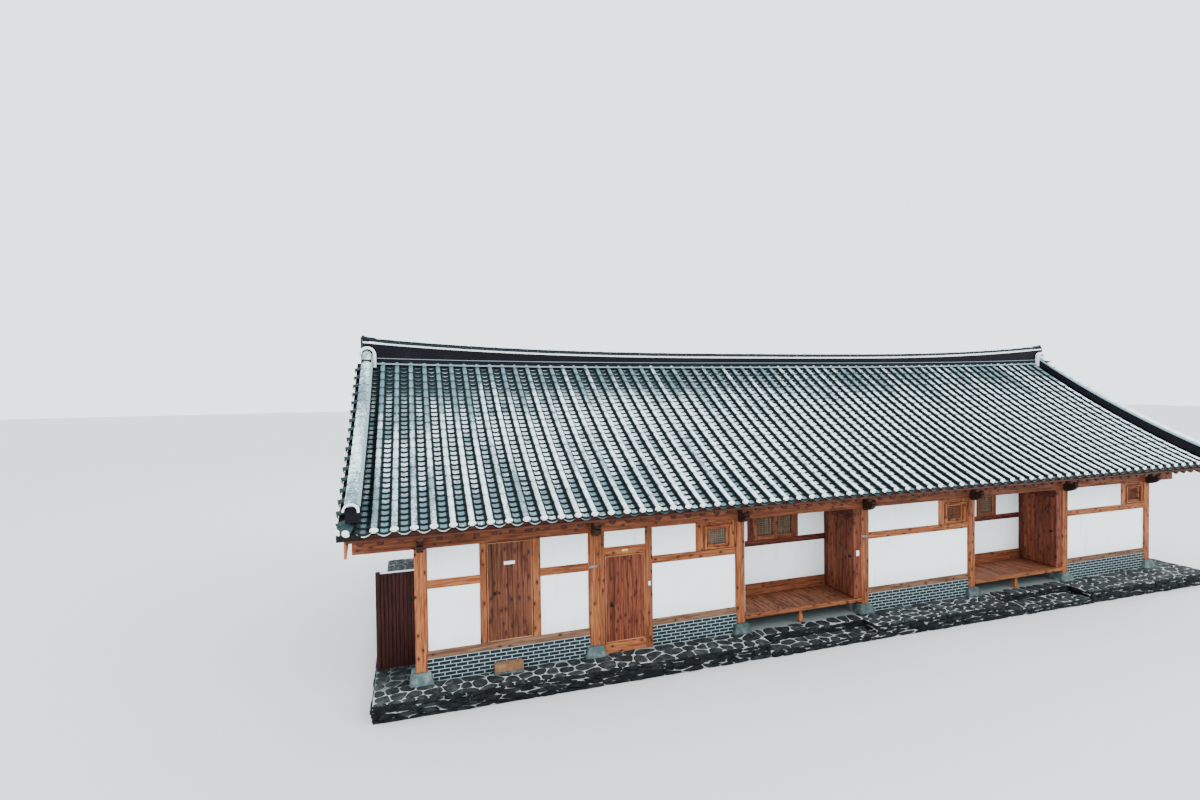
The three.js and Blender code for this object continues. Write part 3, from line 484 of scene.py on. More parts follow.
def joint_finish(name, pale, dark):
    """The bed between laid stones: mortar on top, dark gaps with a little mortar on the faces, and painted
    shade behind the front wall line.
    """
    finish = Finish(name, 0.92)
    here = finish.here()
    top = finish.between(finish.facing_up(), 0.4, 0.8)
    streaks = finish.noise(finish.stretch(here, (2.2, 2.2, 9.0)), 1.4, 4)
    dabs = finish.between(streaks, 0.52, 0.56, 0, 0.75)
    grit = finish.noise(here, 55.0, 5, 0.7)
    shade = finish.blend(finish.math("MAXIMUM", top, dabs), dark, pale)
    shade = finish.blend(finish.between(grit, 0.5, 0.8, 0, 0.5), shade, scaled(pale, 0.5))
    # Behind the front wall line, under the porch floors, the joints are painted dark and mottled as shade
    under_cover_shade = finish.between(finish.split(here)[1], -3.95, -3.70, 0, 0.8)
    dim_colour = finish.blend(finish.noise(here, 3.0, 4), (0.030, 0.042, 0.040), (0.10, 0.13, 0.125))
    finish.feed("Base Color", finish.blend(under_cover_shade, shade, dim_colour))
    finish.feed("Roughness", finish.between(grit, 0.3, 0.7, 0.85, 0.97))
    finish.bump(grit, 0.5, 0.006)
    return finish.material


def plaster_finish(name, base):
    """White lime plaster: trowel waves, faint runs and a little splash dirt low down."""
    finish = Finish(name, 0.88)
    here = finish.here()
    waves = finish.noise(finish.stretch(here, (1.3, 1.3, 0.8)), 2.2, 3)
    runs = finish.noise(finish.stretch(here, (9.0, 9.0, 0.5)), 1.0, 4)
    grit = finish.noise(here, 85.0, 4, 0.7)
    low = finish.between(finish.split(here)[2], 0.85, 1.15, 0.30, 0)
    shade = finish.blend(finish.between(waves, 0.45, 0.75, 0, 0.6), base, scaled(base, 0.90))
    shade = finish.blend(finish.between(runs, 0.56, 0.78, 0, 0.40), shade, (0.62, 0.60, 0.56))
    shade = finish.blend(finish.times(low, grit), shade, (0.45, 0.40, 0.34))
    finish.feed("Base Color", shade)
    finish.feed("Roughness", finish.between(grit, 0.3, 0.7, 0.82, 0.95))
    finish.bump(finish.plus(grit, finish.times(waves, 2.0)), 0.22, 0.003)
    return finish.material


def brick_finish(name, base):
    """Dark fired brick, clouded and pitted, each brick with its own tone."""
    finish = Finish(name, 0.75)
    here = finish.here()
    tone = finish.attribute("tone", "Fac")
    pits = finish.noise(here, 120.0, 4, 0.7)
    clouds = finish.noise(here, 14.0, 3)
    shade = finish.blend(finish.between(clouds, 0.45, 0.8), base, scaled(base, 2.4))
    shade = finish.tint(shade, finish.between(tone, 0, 1, 0.55, 1.6))
    finish.feed("Base Color", shade)
    finish.feed("Roughness", finish.between(pits, 0.3, 0.7, 0.62, 0.88))
    finish.bump(pits, 0.5, 0.003)
    return finish.material


def stone_finish(name, base, pale, fleck, bright):
    """Cut or laid stone, clouded and flecked, with pale flecks on what faces up."""
    finish = Finish(name, 0.8)
    here = finish.here()
    tone = finish.attribute("tone", "Fac")
    clouds = finish.noise(here, 7.0, 5, 0.62)
    flecks = finish.noise(here, fleck, 4, 0.75)
    up = finish.between(finish.facing_up(), 0.75, 1.0, 0, 0.5)
    shade = finish.blend(finish.between(clouds, 0.42, 0.72), base, pale)
    shade = finish.tint(shade, finish.between(tone, 0, 1, 0.6, bright))
    up_flecks = finish.times(finish.between(flecks, 0.52, 0.72), up)
    finish.feed("Base Color", finish.blend(up_flecks, shade, tuple(min(1, value * 3 + 0.1) for value in pale)))
    finish.feed("Roughness", finish.between(flecks, 0.3, 0.7, 0.62, 0.92))
    finish.bump(finish.plus(clouds, finish.times(flecks, 0.5)), 0.6, 0.012)
    return finish.material


def plain_finish(name, base, rough, metal=0.0):
    """Painted or moulded small parts, faintly uneven."""
    finish = Finish(name, rough)
    finish.shader.inputs["Metallic"].default_value = metal
    finish.shader.inputs["Specular IOR Level"].default_value = 0.4
    marks = finish.noise(finish.here(), 45.0, 4, 0.6)
    shade = finish.blend(finish.between(marks, 0.5, 0.75, 0, 0.6), base, scaled(base, 0.75))
    finish.feed("Base Color", shade)
    finish.feed("Roughness", finish.between(marks, 0.3, 0.7, max(0.05, rough - 0.1), min(1, rough + 0.1)))
    finish.bump(marks, 0.15, 0.002)
    return finish.material


# Pale wood, dark grain and share of knots of the timbers
TIMBERS = {
    "sill_pine": ((0.205, 0.112, 0.070), (0.085, 0.036, 0.019), 0.5),
    "beam_pine": ((0.235, 0.073, 0.029), (0.080, 0.021, 0.009), 0.35),
    "bead_pine": ((0.55, 0.27, 0.13), (0.30, 0.11, 0.05), 0.1),
    "eave_pine": ((0.15, 0.042, 0.020), (0.05, 0.013, 0.007), 0.5),
    # Rafters, eave boards and fascia: near black-brown, painted shade under the eaves
    "rafter_pine": ((0.080, 0.022, 0.011), (0.03, 0.009, 0.006), 0.5),
    "deck_pine": ((0.23, 0.082, 0.036), (0.06, 0.019, 0.010), 0.3),
    "window_pine": ((0.21, 0.070, 0.028), (0.075, 0.021, 0.010), 0.5),
    "dark_pine": ((0.046, 0.018, 0.012), (0.018, 0.008, 0.006), 0.5),
    "lattice_pine": ((0.24, 0.16, 0.10), (0.11, 0.065, 0.040), 0),
    "screen_board": ((0.050, 0.012, 0.009), (0.015, 0.004, 0.0035), 0.2),
    "brown_plank": ((0.17, 0.058, 0.027), (0.050, 0.015, 0.009), 0.45),
    "orange_plank": ((0.215, 0.060, 0.026), (0.060, 0.014, 0.008), 0.65),
    "porch_plank": ((0.195, 0.053, 0.024), (0.058, 0.014, 0.008), 0.55),
}

# Colour, stain and roughness of lime and bare tile, and the colour beyond the left end
LIMES = {
    "wet": ((0.020, 0.040, 0.042), (0.006, 0.013, 0.014), 0.55),
    "rim": ((0.23, 0.32, 0.33), (0.08, 0.12, 0.13), 0.85),
    "lip": ((0.60, 0.70, 0.70), (0.20, 0.28, 0.28), 0.85, (0.055, 0.115, 0.115)),
    "earth": ((0.010, 0.009, 0.008), (0.022, 0.020, 0.018), 0.95),
    "room_floor": ((0.085, 0.085, 0.075), (0.05, 0.05, 0.045), 0.6),
}

# Edge of the frost, how far up it must face, and how its amount changes over the roof
TILES = {
    "frosted_tile": {"edge": 0.45, "lift": 0.05, "fade": 0.4, "pan": True},
    "frosted_cover": {"edge": 0.48, "lift": 0.14, "fade": 0.5, "right_gain": 0.2},
    "frosted_verge": {"edge": 0.95, "lift": -0.1, "right_gain": 0.3, "facing": (0.05, 0.2)},
    "frosted_cap": {"edge": 0.90, "facing": (0.62, 0.72)},
}


@functools.cache
def finish_of(name):
    """The named material, made when it is first asked for."""
    scene = bpy.context.scene
    roof, timber, wall = scene.hanok_roof, scene.hanok_timber, scene.hanok_wall
    stone, door, window = scene.hanok_stone, scene.hanok_door, scene.hanok_window
    if name in TIMBERS:
        return timber_finish(name, *TIMBERS[name], timber.knot)
    if name in LIMES:
        return lime_finish(name, *LIMES[name])
    if name in TILES:
        return tile_finish(name, roof.glaze, roof.frost, **TILES[name])
    recipes = {
        "pine": (timber_finish, timber.pale, timber.deep, 0.5, timber.knot),
        "red_board": (timber_finish, timber.red_pale, timber.red_deep, 0.4, timber.knot),
        "ridge": (lime_finish, roof.ridge, (0.026, 0.020, 0.022)),
        "lime": (lime_finish, roof.lime, scaled(roof.lime, 0.72)),
        "white_plaster": (plaster_finish, wall.plaster),
        "dark_brick": (brick_finish, wall.brick),
        "mortar": (lime_finish, wall.mortar, scaled(wall.mortar, 0.6), 0.9),
        "stone": (stone_finish, stone.stone, (0.040, 0.044, 0.043), 40.0, 1.7),
        "rough_stone": (stone_finish, (0.002, 0.003, 0.0035), (0.015, 0.018, 0.019), 30.0, 1.4),
        "stone_joint": (joint_finish, (0.44, 0.47, 0.46), (0.003, 0.004, 0.005)),
        "granite": (stone_finish, stone.granite, (0.155, 0.205, 0.20), 110.0, 1.2),
        "tan_stone": (stone_finish, (0.27, 0.135, 0.065), (0.42, 0.23, 0.12), 60.0, 1.1),
        "steel": (plain_finish, (0.20, 0.21, 0.22), 0.35, 0.8),
        "iron": (plain_finish, door.iron, 0.4, 0.8),
        "plate": (plain_finish, door.plate, 0.45),
        "brass": (plain_finish, door.brass, 0.4, 0.3),
        "paper": (lime_finish, window.paper, scaled(window.paper, 0.6), 0.8),
    }
    kind, *values = recipes[name]
    return kind(name, *values)


# Shapes


def sides_of(outline):
    """The sides of a closed outline, each as its two ends."""
    return zip(outline, outline[1:] + outline[:1])


def signed_area(outline):
    """Twice the area of an outline, above zero where it runs anticlockwise."""
    return sum(p[0] * q[1] - q[0] * p[1] for p, q in sides_of(outline))


def circle(radius, sides):
    angles = np.linspace(0, math.tau, sides, endpoint=False)
    return [(radius * math.cos(a), radius * math.sin(a)) for a in angles]


def quads(low, high, count):
    """Faces between two closed rings of points that start at two indices."""
    return [[low + i, low + (i + 1) % count, high + (i + 1) % count, high + i] for i in range(count)]


BOX_CORNERS = [(a, b, c) for a in (-1, 1) for b in (-1, 1) for c in (-1, 1)]


def eased_box_faces():
    """Faces of a block whose edges and corners are cut off, three points to a corner."""
    spots = [
        tuple(value * (1.0 if axis == k else 0.8) for k, value in enumerate(corner))
        for corner in BOX_CORNERS
        for axis in range(3)
    ]
    index = {(c, axis): 3 * n + axis for n, c in enumerate(BOX_CORNERS) for axis in range(3)}
    faces = []

    def corner(axis, sign, a, b):
        spot = [a, b]
        spot.insert(axis, sign)
        return tuple(spot)

    for axis in range(3):
        one, two = [k for k in range(3) if k != axis]
        for sign in (-1, 1):
            ring = [corner(axis, sign, a, b) for a, b in ((-1, -1), (1, -1), (1, 1), (-1, 1))]
            faces.append([index[spot, axis] for spot in ring])
        for a in (-1, 1):
            for b in (-1, 1):
                low, high = corner(axis, -1, a, b), corner(axis, 1, a, b)
                faces.append([index[spot] for spot in ((low, one), (high, one), (high, two), (low, two))])
    faces += [[index[c, 0], index[c, 1], index[c, 2]] for c in BOX_CORNERS]
    turned = []
    for face in faces:
        points = [Vector(spots[i]) for i in face]
        normal = (points[1] - points[0]).cross(points[2] - points[0])
        middle = sum(points, Vector()) / len(points)
        turned.append(face if normal.dot(middle) > 0 else face[::-1])
    return turned


EASED_FACES = eased_box_faces()


class Joinery:
    """Boards and other solids gathered into one mesh, each with its own grain and tone."""

    def __init__(self, seed):
        self.random = random.Random(seed)
        self.points, self.faces, self.grain, self.smooth = [], [], [], []

    def add(self, points, faces, length_axis=None, matrix=None, smooth=False):
        """Adds one solid. Its grain runs along its longest side, unless an axis is named."""
        array = np.array(points, float)
        size = array.max(0) - array.min(0)
        axis = int(np.argmax(size)) if length_axis is None else length_axis
        others = [k for k in range(3) if k != axis]
        tone = self.random.random()
        shift = self.random.uniform(0, 9)
        first = len(self.points)
        for p in array:
            self.grain.append((p[axis] + shift, p[others[0]] + p[others[1]] + 3 * shift, tone))
        if matrix is not None:
            array = [tuple(matrix @ Vector(p)) for p in array]
        self.points.extend(tuple(p) for p in array)
        self.faces.extend(tuple(first + i for i in face) for face in faces)
        self.smooth.extend([smooth] * len(faces))

    def board(self, low, high, edge=None, matrix=None):
        """A block from one corner to the opposite one, with eased edges."""
        low, high = [min(a, b) for a, b in zip(low, high)], [max(a, b) for a, b in zip(low, high)]
        middle = [(a + b) / 2 for a, b in zip(low, high)]
        half = [(b - a) / 2 for a, b in zip(low, high)]
        cut = bpy.context.scene.hanok_timber.edge if edge is None else edge
        cut = min(cut, min(half) * 0.45)
        points = []
        for corner in BOX_CORNERS:
            for axis in range(3):
                reach = [half[k] - (0 if k == axis else cut) for k in range(3)]
                points.append([m + s * r for m, s, r in zip(middle, corner, reach)])
        self.add(points, EASED_FACES, matrix=matrix)

    def prism(self, outline, axis, start, end, length_axis=None, smooth=False, matrix=None):
        """An outline in the two other axes, run from start to end along an axis."""
        ring = list(outline) if signed_area(outline) > 0 else list(outline)[::-1]
        if axis == 1:
            ring = ring[::-1]
        points = []
        for value in (min(start, end), max(start, end)):
            for a, b in ring:
                spot = [a, b]
                spot.insert(axis, value)
                points.append(spot)
        count = len(ring)
        faces = [list(range(count))[::-1], list(range(count, 2 * count)), *quads(0, count, count)]
        self.add(points, faces, length_axis, matrix, False)
        if smooth:
            self.smooth[-count:] = [True] * count

    def rod(self, start, end, radius, sides):
        """A round bar between two points."""
        start, end = Vector(start), Vector(end)
        turn = (end - start).to_track_quat("Z", "Y").to_matrix().to_4x4()
        turn.translation = start
        self.prism(circle(radius, sides), 2, 0, (end - start).length, 2, True, turn)

    def turned(self, profile, matrix, sides):
        """A turned shape: radius and height pairs, closed at both ends, in its own frame."""
        points, faces = [], []
        for radius, height in profile:
            points += [(x, y, height) for x, y in circle(radius, sides)]
        last = (len(profile) - 1) * sides
        for low in range(0, last, sides):
            faces += quads(low, low + sides, sides)
        faces.append(list(range(sides))[::-1])
        faces.append([last + i for i in range(sides)])
        self.add(points, faces, 2, matrix, True)

    def mesh(self, name):
        made = bpy.data.meshes.new(name)
        made.from_pydata(self.points, [], self.faces)
        grain = made.attributes.new("grain", "FLOAT_VECTOR", "POINT")
        grain.data.foreach_set("vector", np.array(self.grain, np.float32).ravel())
        tone = made.attributes.new("tone", "FLOAT", "POINT")
        tone.data.foreach_set("value", np.array([g[2] for g in self.grain], np.float32))
        made.polygons.foreach_set("use_smooth", self.smooth)
        made.update()
        return made

    def piece(self, name, finish, slot="timber", body="house"):
        return finished_piece(name, self.mesh(name), finish, body)


def finished_piece(name, mesh, finish, body):
    """An object with its finish and the body that it rides on."""
    mesh.materials.clear()
    mesh.materials.append(finish_of(finish))
    piece = bpy.data.objects.new(name, mesh)
    bpy.context.scene.collection.objects.link(piece)
    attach(piece, body)
    return piece


# Copies of one small shape, set by a group of geometry nodes


def copies_tree():
    """The nodes that set a copy on every point, turned and stretched as the point says."""
    name = "hanok_copies"
    if name in bpy.data.node_groups:
        return bpy.data.node_groups[name]
    tree = bpy.data.node_groups.new(name, "GeometryNodeTree")
    tree.is_modifier = True
    sockets = (
        ("Points", "NodeSocketGeometry"),
        ("Copy", "NodeSocketObject"),
        ("Turn Play", "NodeSocketFloat"),
        ("Seed", "NodeSocketInt"),
        ("Finish", "NodeSocketMaterial"),
    )
    for label, kind in sockets:
        tree.interface.new_socket(label, in_out="INPUT", socket_type=kind)
    tree.interface.new_socket("Geometry", in_out="OUTPUT", socket_type="NodeSocketGeometry")
    given = add_node(tree, "NodeGroupInput").outputs
    result = add_node(tree, "NodeGroupOutput")

    def stored(label):
        kind = "GeometryNodeInputNamedAttribute"
        return add_node(tree, kind, {"Name": label}, data_type="FLOAT_VECTOR").outputs["Attribute"]

    def chance(kind, **inputs):
        made = add_node(tree, "FunctionNodeRandomValue", {**inputs, "Seed": given["Seed"]}, data_type=kind)
        return next(socket for socket in made.outputs if socket.enabled)

    def scaled_by_play(vector):
        inputs = {0: vector, "Scale": given["Turn Play"]}
        return add_node(tree, "ShaderNodeVectorMath", inputs, operation="SCALE").outputs[0]

    play = chance("FLOAT_VECTOR", Min=scaled_by_play((-1, -1, -1)), Max=scaled_by_play((1, 1, 1)))
    turn = add_node(tree, "ShaderNodeVectorMath", {0: stored("turn"), 1: play}).outputs[0]
    inputs = {
        "Points": given["Points"],
        "Instance": add_node(tree, "GeometryNodeObjectInfo", {"Object": given["Copy"]}).outputs["Geometry"],
        "Rotation": add_node(tree, "FunctionNodeEulerToRotation", {0: turn}).outputs[0],
        "Scale": stored("stretch"),
    }
    set_out = add_node(tree, "GeometryNodeInstanceOnPoints", inputs)
    inputs = {"Geometry": set_out.outputs[0], "Name": "tone", "Value": chance("FLOAT")}
    kind = "GeometryNodeStoreNamedAttribute"
    toned = add_node(tree, kind, inputs, domain="INSTANCE", data_type="FLOAT")
    real = add_node(tree, "GeometryNodeRealizeInstances", {0: toned.outputs[0]})
    inputs = {"Geometry": real.outputs[0], "Material": given["Finish"]}
    last = add_node(tree, "GeometryNodeSetMaterial", inputs)
    tree.links.new(last.outputs[0], result.inputs[0])
    return tree


def set_copies(name, shape, places, finish, seed, turn_play=0.0):
    """One mesh with a copy of a shape at each place: position, turn and stretch."""
    source = bpy.data.objects.new(name + "_copy", shape)
    points = bpy.data.meshes.new(name + "_points")
    points.from_pydata([tuple(place[0]) for place in places], [], [])
    for label, column in (("turn", 1), ("stretch", 2)):
        values = np.array([tuple(place[column]) for place in places], np.float32)
        points.attributes.new(label, "FLOAT_VECTOR", "POINT").data.foreach_set("vector", values.ravel())
    holder = bpy.data.objects.new(name + "_holder", points)
    for made in (source, holder):
        bpy.context.scene.collection.objects.link(made)
    tree = copies_tree()
    modifier = holder.modifiers.new("copies", "NODES")
    modifier.node_group = tree
    given = {
        "Copy": source,
        "Turn Play": float(turn_play),
        "Seed": seed,
        "Finish": finish_of(finish),
    }
    for item in tree.interface.items_tree:
        if item.in_out == "INPUT" and item.name in given:
            modifier[item.identifier] = given[item.name]
    bpy.context.view_layer.update()
    graph = bpy.context.evaluated_depsgraph_get()
    made = bpy.data.meshes.new_from_object(holder.evaluated_get(graph), depsgraph=graph)
    made.name = name
    holder.modifiers.clear()
    bpy.data.objects.remove(holder)
    bpy.data.objects.remove(source)
    if not made.polygons:
        raise RuntimeError(f"{name} came out empty")
    return finished_piece(name, made, finish, "house")


def shell_faces(parts):
    """Faces of a thin curved strip, whose rows are the near top and underside, then the far ones."""
    row = parts + 1
    near_top, near_low, far_top, far_low = (k * row for k in range(4))
    faces = []
    for i in range(parts):
        faces.append([near_top + i, near_top + i + 1, far_top + i + 1, far_top + i])
        faces.append([near_low + i + 1, near_low + i, far_low + i, far_low + i + 1])
        faces.append([near_low + i, near_low + i + 1, near_top + i + 1, near_top + i])
        faces.append([far_low + i + 1, far_low + i, far_top + i, far_top + i + 1])
    faces.append([near_low, near_top, far_top, far_low])
    faces.append([near_top + parts, near_low + parts, far_low + parts, far_top + parts])
    return faces


def small_mesh(name, points, faces, smooth):
    """A mesh whose smooth faces are marked one by one."""
    mesh = bpy.data.meshes.new(name)
    mesh.from_pydata(points, [], faces)
    mesh.polygons.foreach_set("use_smooth", smooth)
    mesh.update()
    return mesh


def trough(width, sag, thickness, size, parts, taper=1.0):
    """A tile curved across its width; size is its length, and a negative sag arches it."""
    points, spots = [], []
    for y, scale in ((0.0, 1.0), (size, taper)):
        for lower in (0, 1):
            for part in range(parts + 1):
                share = 2 * part / parts - 1
                spots += [abs(share), y / size, 1 - y / size]
                if sag < 0:
                    angle = share * math.pi / 2
                    radius = width / 2 * scale - lower * thickness
                    points.append((radius * math.sin(angle), y, radius * math.cos(angle)))
                else:
                    points.append((share * width / 2 * scale, y, sag * share**2 - lower * thickness))
    faces = shell_faces(parts)
    smooth = [i % 4 in (0, 1) and i < 4 * parts for i in range(len(faces))]
    mesh = small_mesh("tile", points, faces, smooth)
    mesh.attributes.new("spot", "FLOAT_VECTOR", "POINT").data.foreach_set("vector", spots)
    return mesh


def dome(radius, depth, flat=1.0):
    """A low round plug that bulges towards -Y."""
    sides = 14
    points = [(0.0, -depth, 0.0)]
    faces = []
    rings = ((0.6, 0.82), (0.9, 0.45), (1.0, 0.0), (1.0, -0.5))
    for scale, bulge in rings:
        for a in np.linspace(0, math.tau, sides, endpoint=False):
            points.append((radius * scale * math.cos(a), -depth * bulge, radius * flat * scale * math.sin(a)))
    last = 1 + (len(rings) - 1) * sides
    for i in range(sides):
        j = (i + 1) % sides
        faces.append([0, 1 + i, 1 + j])
        for low in range(1, last, sides):
            high = low + sides
            faces.append([low + i, high + i, high + j, low + j])
    faces.append([last + i for i in range(sides)][::-1])
    return small_mesh("plug", points, faces, [True] * (len(faces) - 1) + [False])


def crescent(width, sag, depth, thickness):
    """A curved lip that hangs under the edge of a pan tile."""
    parts = 6
    points = []
    for y in (0.0, thickness):
        for drop in (0.0, 1.0):
            for part in range(parts + 1):
                share = 2 * part / parts - 1
                points.append((share * width / 2, y, sag * share**2 - drop * depth * (1 - 0.8 * share**2)))
    faces = shell_faces(parts)
    return small_mesh("lip", points, faces, [False] * len(faces))


def slope_point(side, x, y, z):
    """A point of the front slope, or its match on the back slope."""
    return (x, y, z) if side == "front" else (-x, -y, z)


def slope_turn(side, tilt):
    return (tilt, 0.0, 0.0 if side == "front" else math.pi)


ONE = (1.0, 1.0, 1.0)


# The stage and the pieces


class HANOK_OT_stage(Operator):
    """Sets up the camera, the pale floor and the soft studio light"""

    bl_idname = "hanok.stage"
    bl_label = "Stage"

    def execute(self, context):
        settings = context.scene.hanok_stage
        yaw, pitch, roll = (math.radians(turn) for turn in CAMERA_TURN)
        level = math.cos(pitch)
        forward = Vector((math.sin(yaw) * level, math.cos(yaw) * level, math.sin(pitch)))
        right = Vector((math.cos(yaw), -math.sin(yaw), 0))
        up = right.cross(forward)
        tilted_right = math.cos(roll) * right + math.sin(roll) * up
        tilted_up = math.cos(roll) * up - math.sin(roll) * right
        matrix = Matrix((tilted_right, tilted_up, -forward)).transposed().to_4x4()
        matrix.translation = CAMERA_PLACE
        data = bpy.data.cameras.new("camera")
        data.sensor_width = FILM
        data.lens = CAMERA_FOCUS / PICTURE[0] * FILM
        data.shift_y = (CAMERA_MIDDLE - PICTURE[1] / 2) / PICTURE[0]
        data.clip_end = 500
        camera = bpy.data.objects.new("camera", data)
        camera.matrix_world = matrix
        context.scene.collection.objects.link(camera)
        context.scene.camera = camera

        floor_mesh = bpy.data.meshes.new("studio_floor")
        reach = 140
        corners = [(-reach, -reach, 0), (reach, -reach, 0), (reach, reach, 0), (-reach, reach, 0)]
        floor_mesh.from_pydata(corners, [], [(0, 1, 2, 3)])
        floor_mesh.materials.append(plain_finish("studio_floor", settings.floor, 0.9))
        floor = bpy.data.objects.new("studio_floor", floor_mesh)
        context.scene.collection.objects.link(floor)

        world = bpy.data.worlds.new("studio")
        world.use_nodes = True
        background = world.node_tree.nodes["Background"]
        background.inputs["Color"].default_value = (0.87, 0.94, 1.0, 1)
        background.inputs["Strength"].default_value = settings.sky
        context.scene.world = world
        for name, place, size, power in (
            ("key_light", (14, -22, 20), 16, settings.lamp),
            ("fill_light", (-18, -20, 12), 14, settings.lamp * 0.30),
            ("back_light", (0, 24, 20), 18, settings.lamp * 0.45),
        ):
            lamp = bpy.data.lights.new(name, "AREA")
            lamp.shape, lamp.size, lamp.energy = "DISK", size, power
            holder = bpy.data.objects.new(name, lamp)
            holder.location = place
            way = Vector((0, 0, 2)) - Vector(place)
            holder.rotation_euler = way.to_track_quat("-Z", "Y").to_euler()
            context.scene.collection.objects.link(holder)
        return {"FINISHED"}


class HANOK_OT_roof_tiles(Operator):
    """Lays the pan tiles, the cover tiles over their joints and the bed under them"""

    bl_idname = "hanok.roof_tiles"
    bl_label = "Roof tiles"

    def execute(self, context):
        roof = context.scene.hanok_roof
        rows = [(k - (TILE_ROWS - 1) / 2) * roof.row_step for k in range(TILE_ROWS)]
        pans = [(k - TILE_ROWS / 2) * roof.row_step for k in range(TILE_ROWS + 1)]
        for side in ("front", "back"):
            self.pan_tiles(side, pans, roof)
            self.cover_tiles(side, rows, roof)
            self.eave_edge(side, rows, pans, roof.cover_radius)
            self.bed(side)
        return {"FINISHED"}

    def pan_tiles(self, side, pans, roof):
        """Pan tiles, each a little flatter than the slope, so that its lower edge stands free."""
        shape = trough(0.262, 0.068, 0.024, 0.24, 6)
        stations = slope_stations(0.16, EAVE - 0.01, roof.pan_step)
        places = []
        for x in pans:
            for distance, tilt in stations:
                z = tile_crest(distance) + end_lift(x, distance) - 0.104
                places.append((slope_point(side, x, -distance, z), slope_turn(side, tilt - 0.11), ONE))
        made = set_copies(f"pan_tiles_{side}", shape, places, "frosted_tile", roof.seed, 0.010)
        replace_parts(made, f"roof_{side}")

    def cover_tiles(self, side, rows, roof):
        """Cover tiles, each row with its own start under the ridge and one tile more at the eave."""
        shape = trough(2 * roof.cover_radius, -1, 0.010, 0.32, 6, 0.985)
        last_tilt = slope_stations(0.16, COVER_END, roof.cover_step)[-1][1]
        axis = roof.cover_radius
        places = []
        for x in rows:
            wander = random.Random(int(x * 1000) + roof.seed).uniform(0, 0.12)
            for distance, tilt in slope_stations(0.14 + wander * 0.5, COVER_END, roof.cover_step):
                z = tile_crest(distance) + end_lift(x, distance) - axis - 0.004
                places.append((slope_point(side, x, -distance, z), slope_turn(side, tilt - 0.006), ONE))
            z = tile_crest(COVER_END) + end_lift(x, EAVE) - axis - 0.004
            places.append((slope_point(side, x, -COVER_END, z), slope_turn(side, last_tilt), ONE))
        set_copies(f"cover_tiles_{side}", shape, places, "frosted_cover", roof.seed + 1, 0.005)

    def eave_edge(self, side, rows, pans, radius):
        """The plugs in the ends of the cover tiles, the lips under the ends of the pan tiles, and dark
        undersides behind the lips that show as a painted shadow line below them.
        """
        turn = slope_turn(side, 0.1)
        places = []
        for x in rows:
            z = tile_crest(EAVE - 0.05) + end_lift(x, EAVE) - radius + 0.016
            places.append((slope_point(side, x, -PLUG_PLACE, z), turn, ONE))
        plug = dome(radius * 0.95, 0.018, flat=0.68)
        set_copies(f"eave_plugs_{side}", plug, places, "lime", 3, 0.02)
        lips, undersides = [], []
        for x in pans:
            z = tile_crest(EAVE - 0.01) + end_lift(x, EAVE) - 0.122
            lips.append((slope_point(side, x, -LIP_PLACE, z), turn, ONE))
            undersides.append((slope_point(side, x, 0.014 - LIP_PLACE, z - 0.004), turn, ONE))
        # The wider crescent behind and below each lip, in dark ridge tile, is the end pans' underside,
        # standing as a painted shadow line under the lips
        lip, underside = crescent(0.225, 0.041, 0.026, 0.022), crescent(0.27, 0.058, 0.040, 0.02)
        set_copies(f"eave_lips_{side}", lip, lips, "lip", 4)
        set_copies(f"eave_undersides_{side}", underside, undersides, "ridge", 4)

    def bed(self, side):
        """The earth and boards under the tiles, as thick as the solid slope leaves room for."""
        distances = [*BENDS, EAVE - 0.12][::-1]
        count = 17
        points, faces = [], []
        for lower in (0, 1):
            for distance in distances:
                for k in range(count):
                    x = (2 * k / (count - 1) - 1) * VERGE_INNER
                    top = tile_crest(distance) + end_lift(x, distance) - 0.135
                    z = roof_underside(distance) if lower else top
                    points.append(slope_point(side, x, -distance, z))
        last = len(distances) - 1

        def at(row, k, lower):
            return (lower * len(distances) + row) * count + k

        for row in range(last):
            for k in range(count - 1):
                faces.append([at(row, k, 0), at(row, k + 1, 0), at(row + 1, k + 1, 0), at(row + 1, k, 0)])
                faces.append([at(row + 1, k, 1), at(row + 1, k + 1, 1), at(row, k + 1, 1), at(row, k, 1)])
            for k, order in ((0, 1), (count - 1, -1)):
                ring = [at(row, k, 0), at(row + 1, k, 0), at(row + 1, k, 1), at(row, k, 1)]
                faces.append(ring[::order])
        for k in range(count - 1):
            faces.append([at(0, k, 1), at(0, k + 1, 1), at(0, k + 1, 0), at(0, k, 0)])
            faces.append([at(last, k, 0), at(last, k + 1, 0), at(last, k + 1, 1), at(last, k, 1)])
        bed = Joinery(5)
        bed.add(points, faces)
        bed.piece(f"roof_bed_{side}", "earth", "roof_tile")


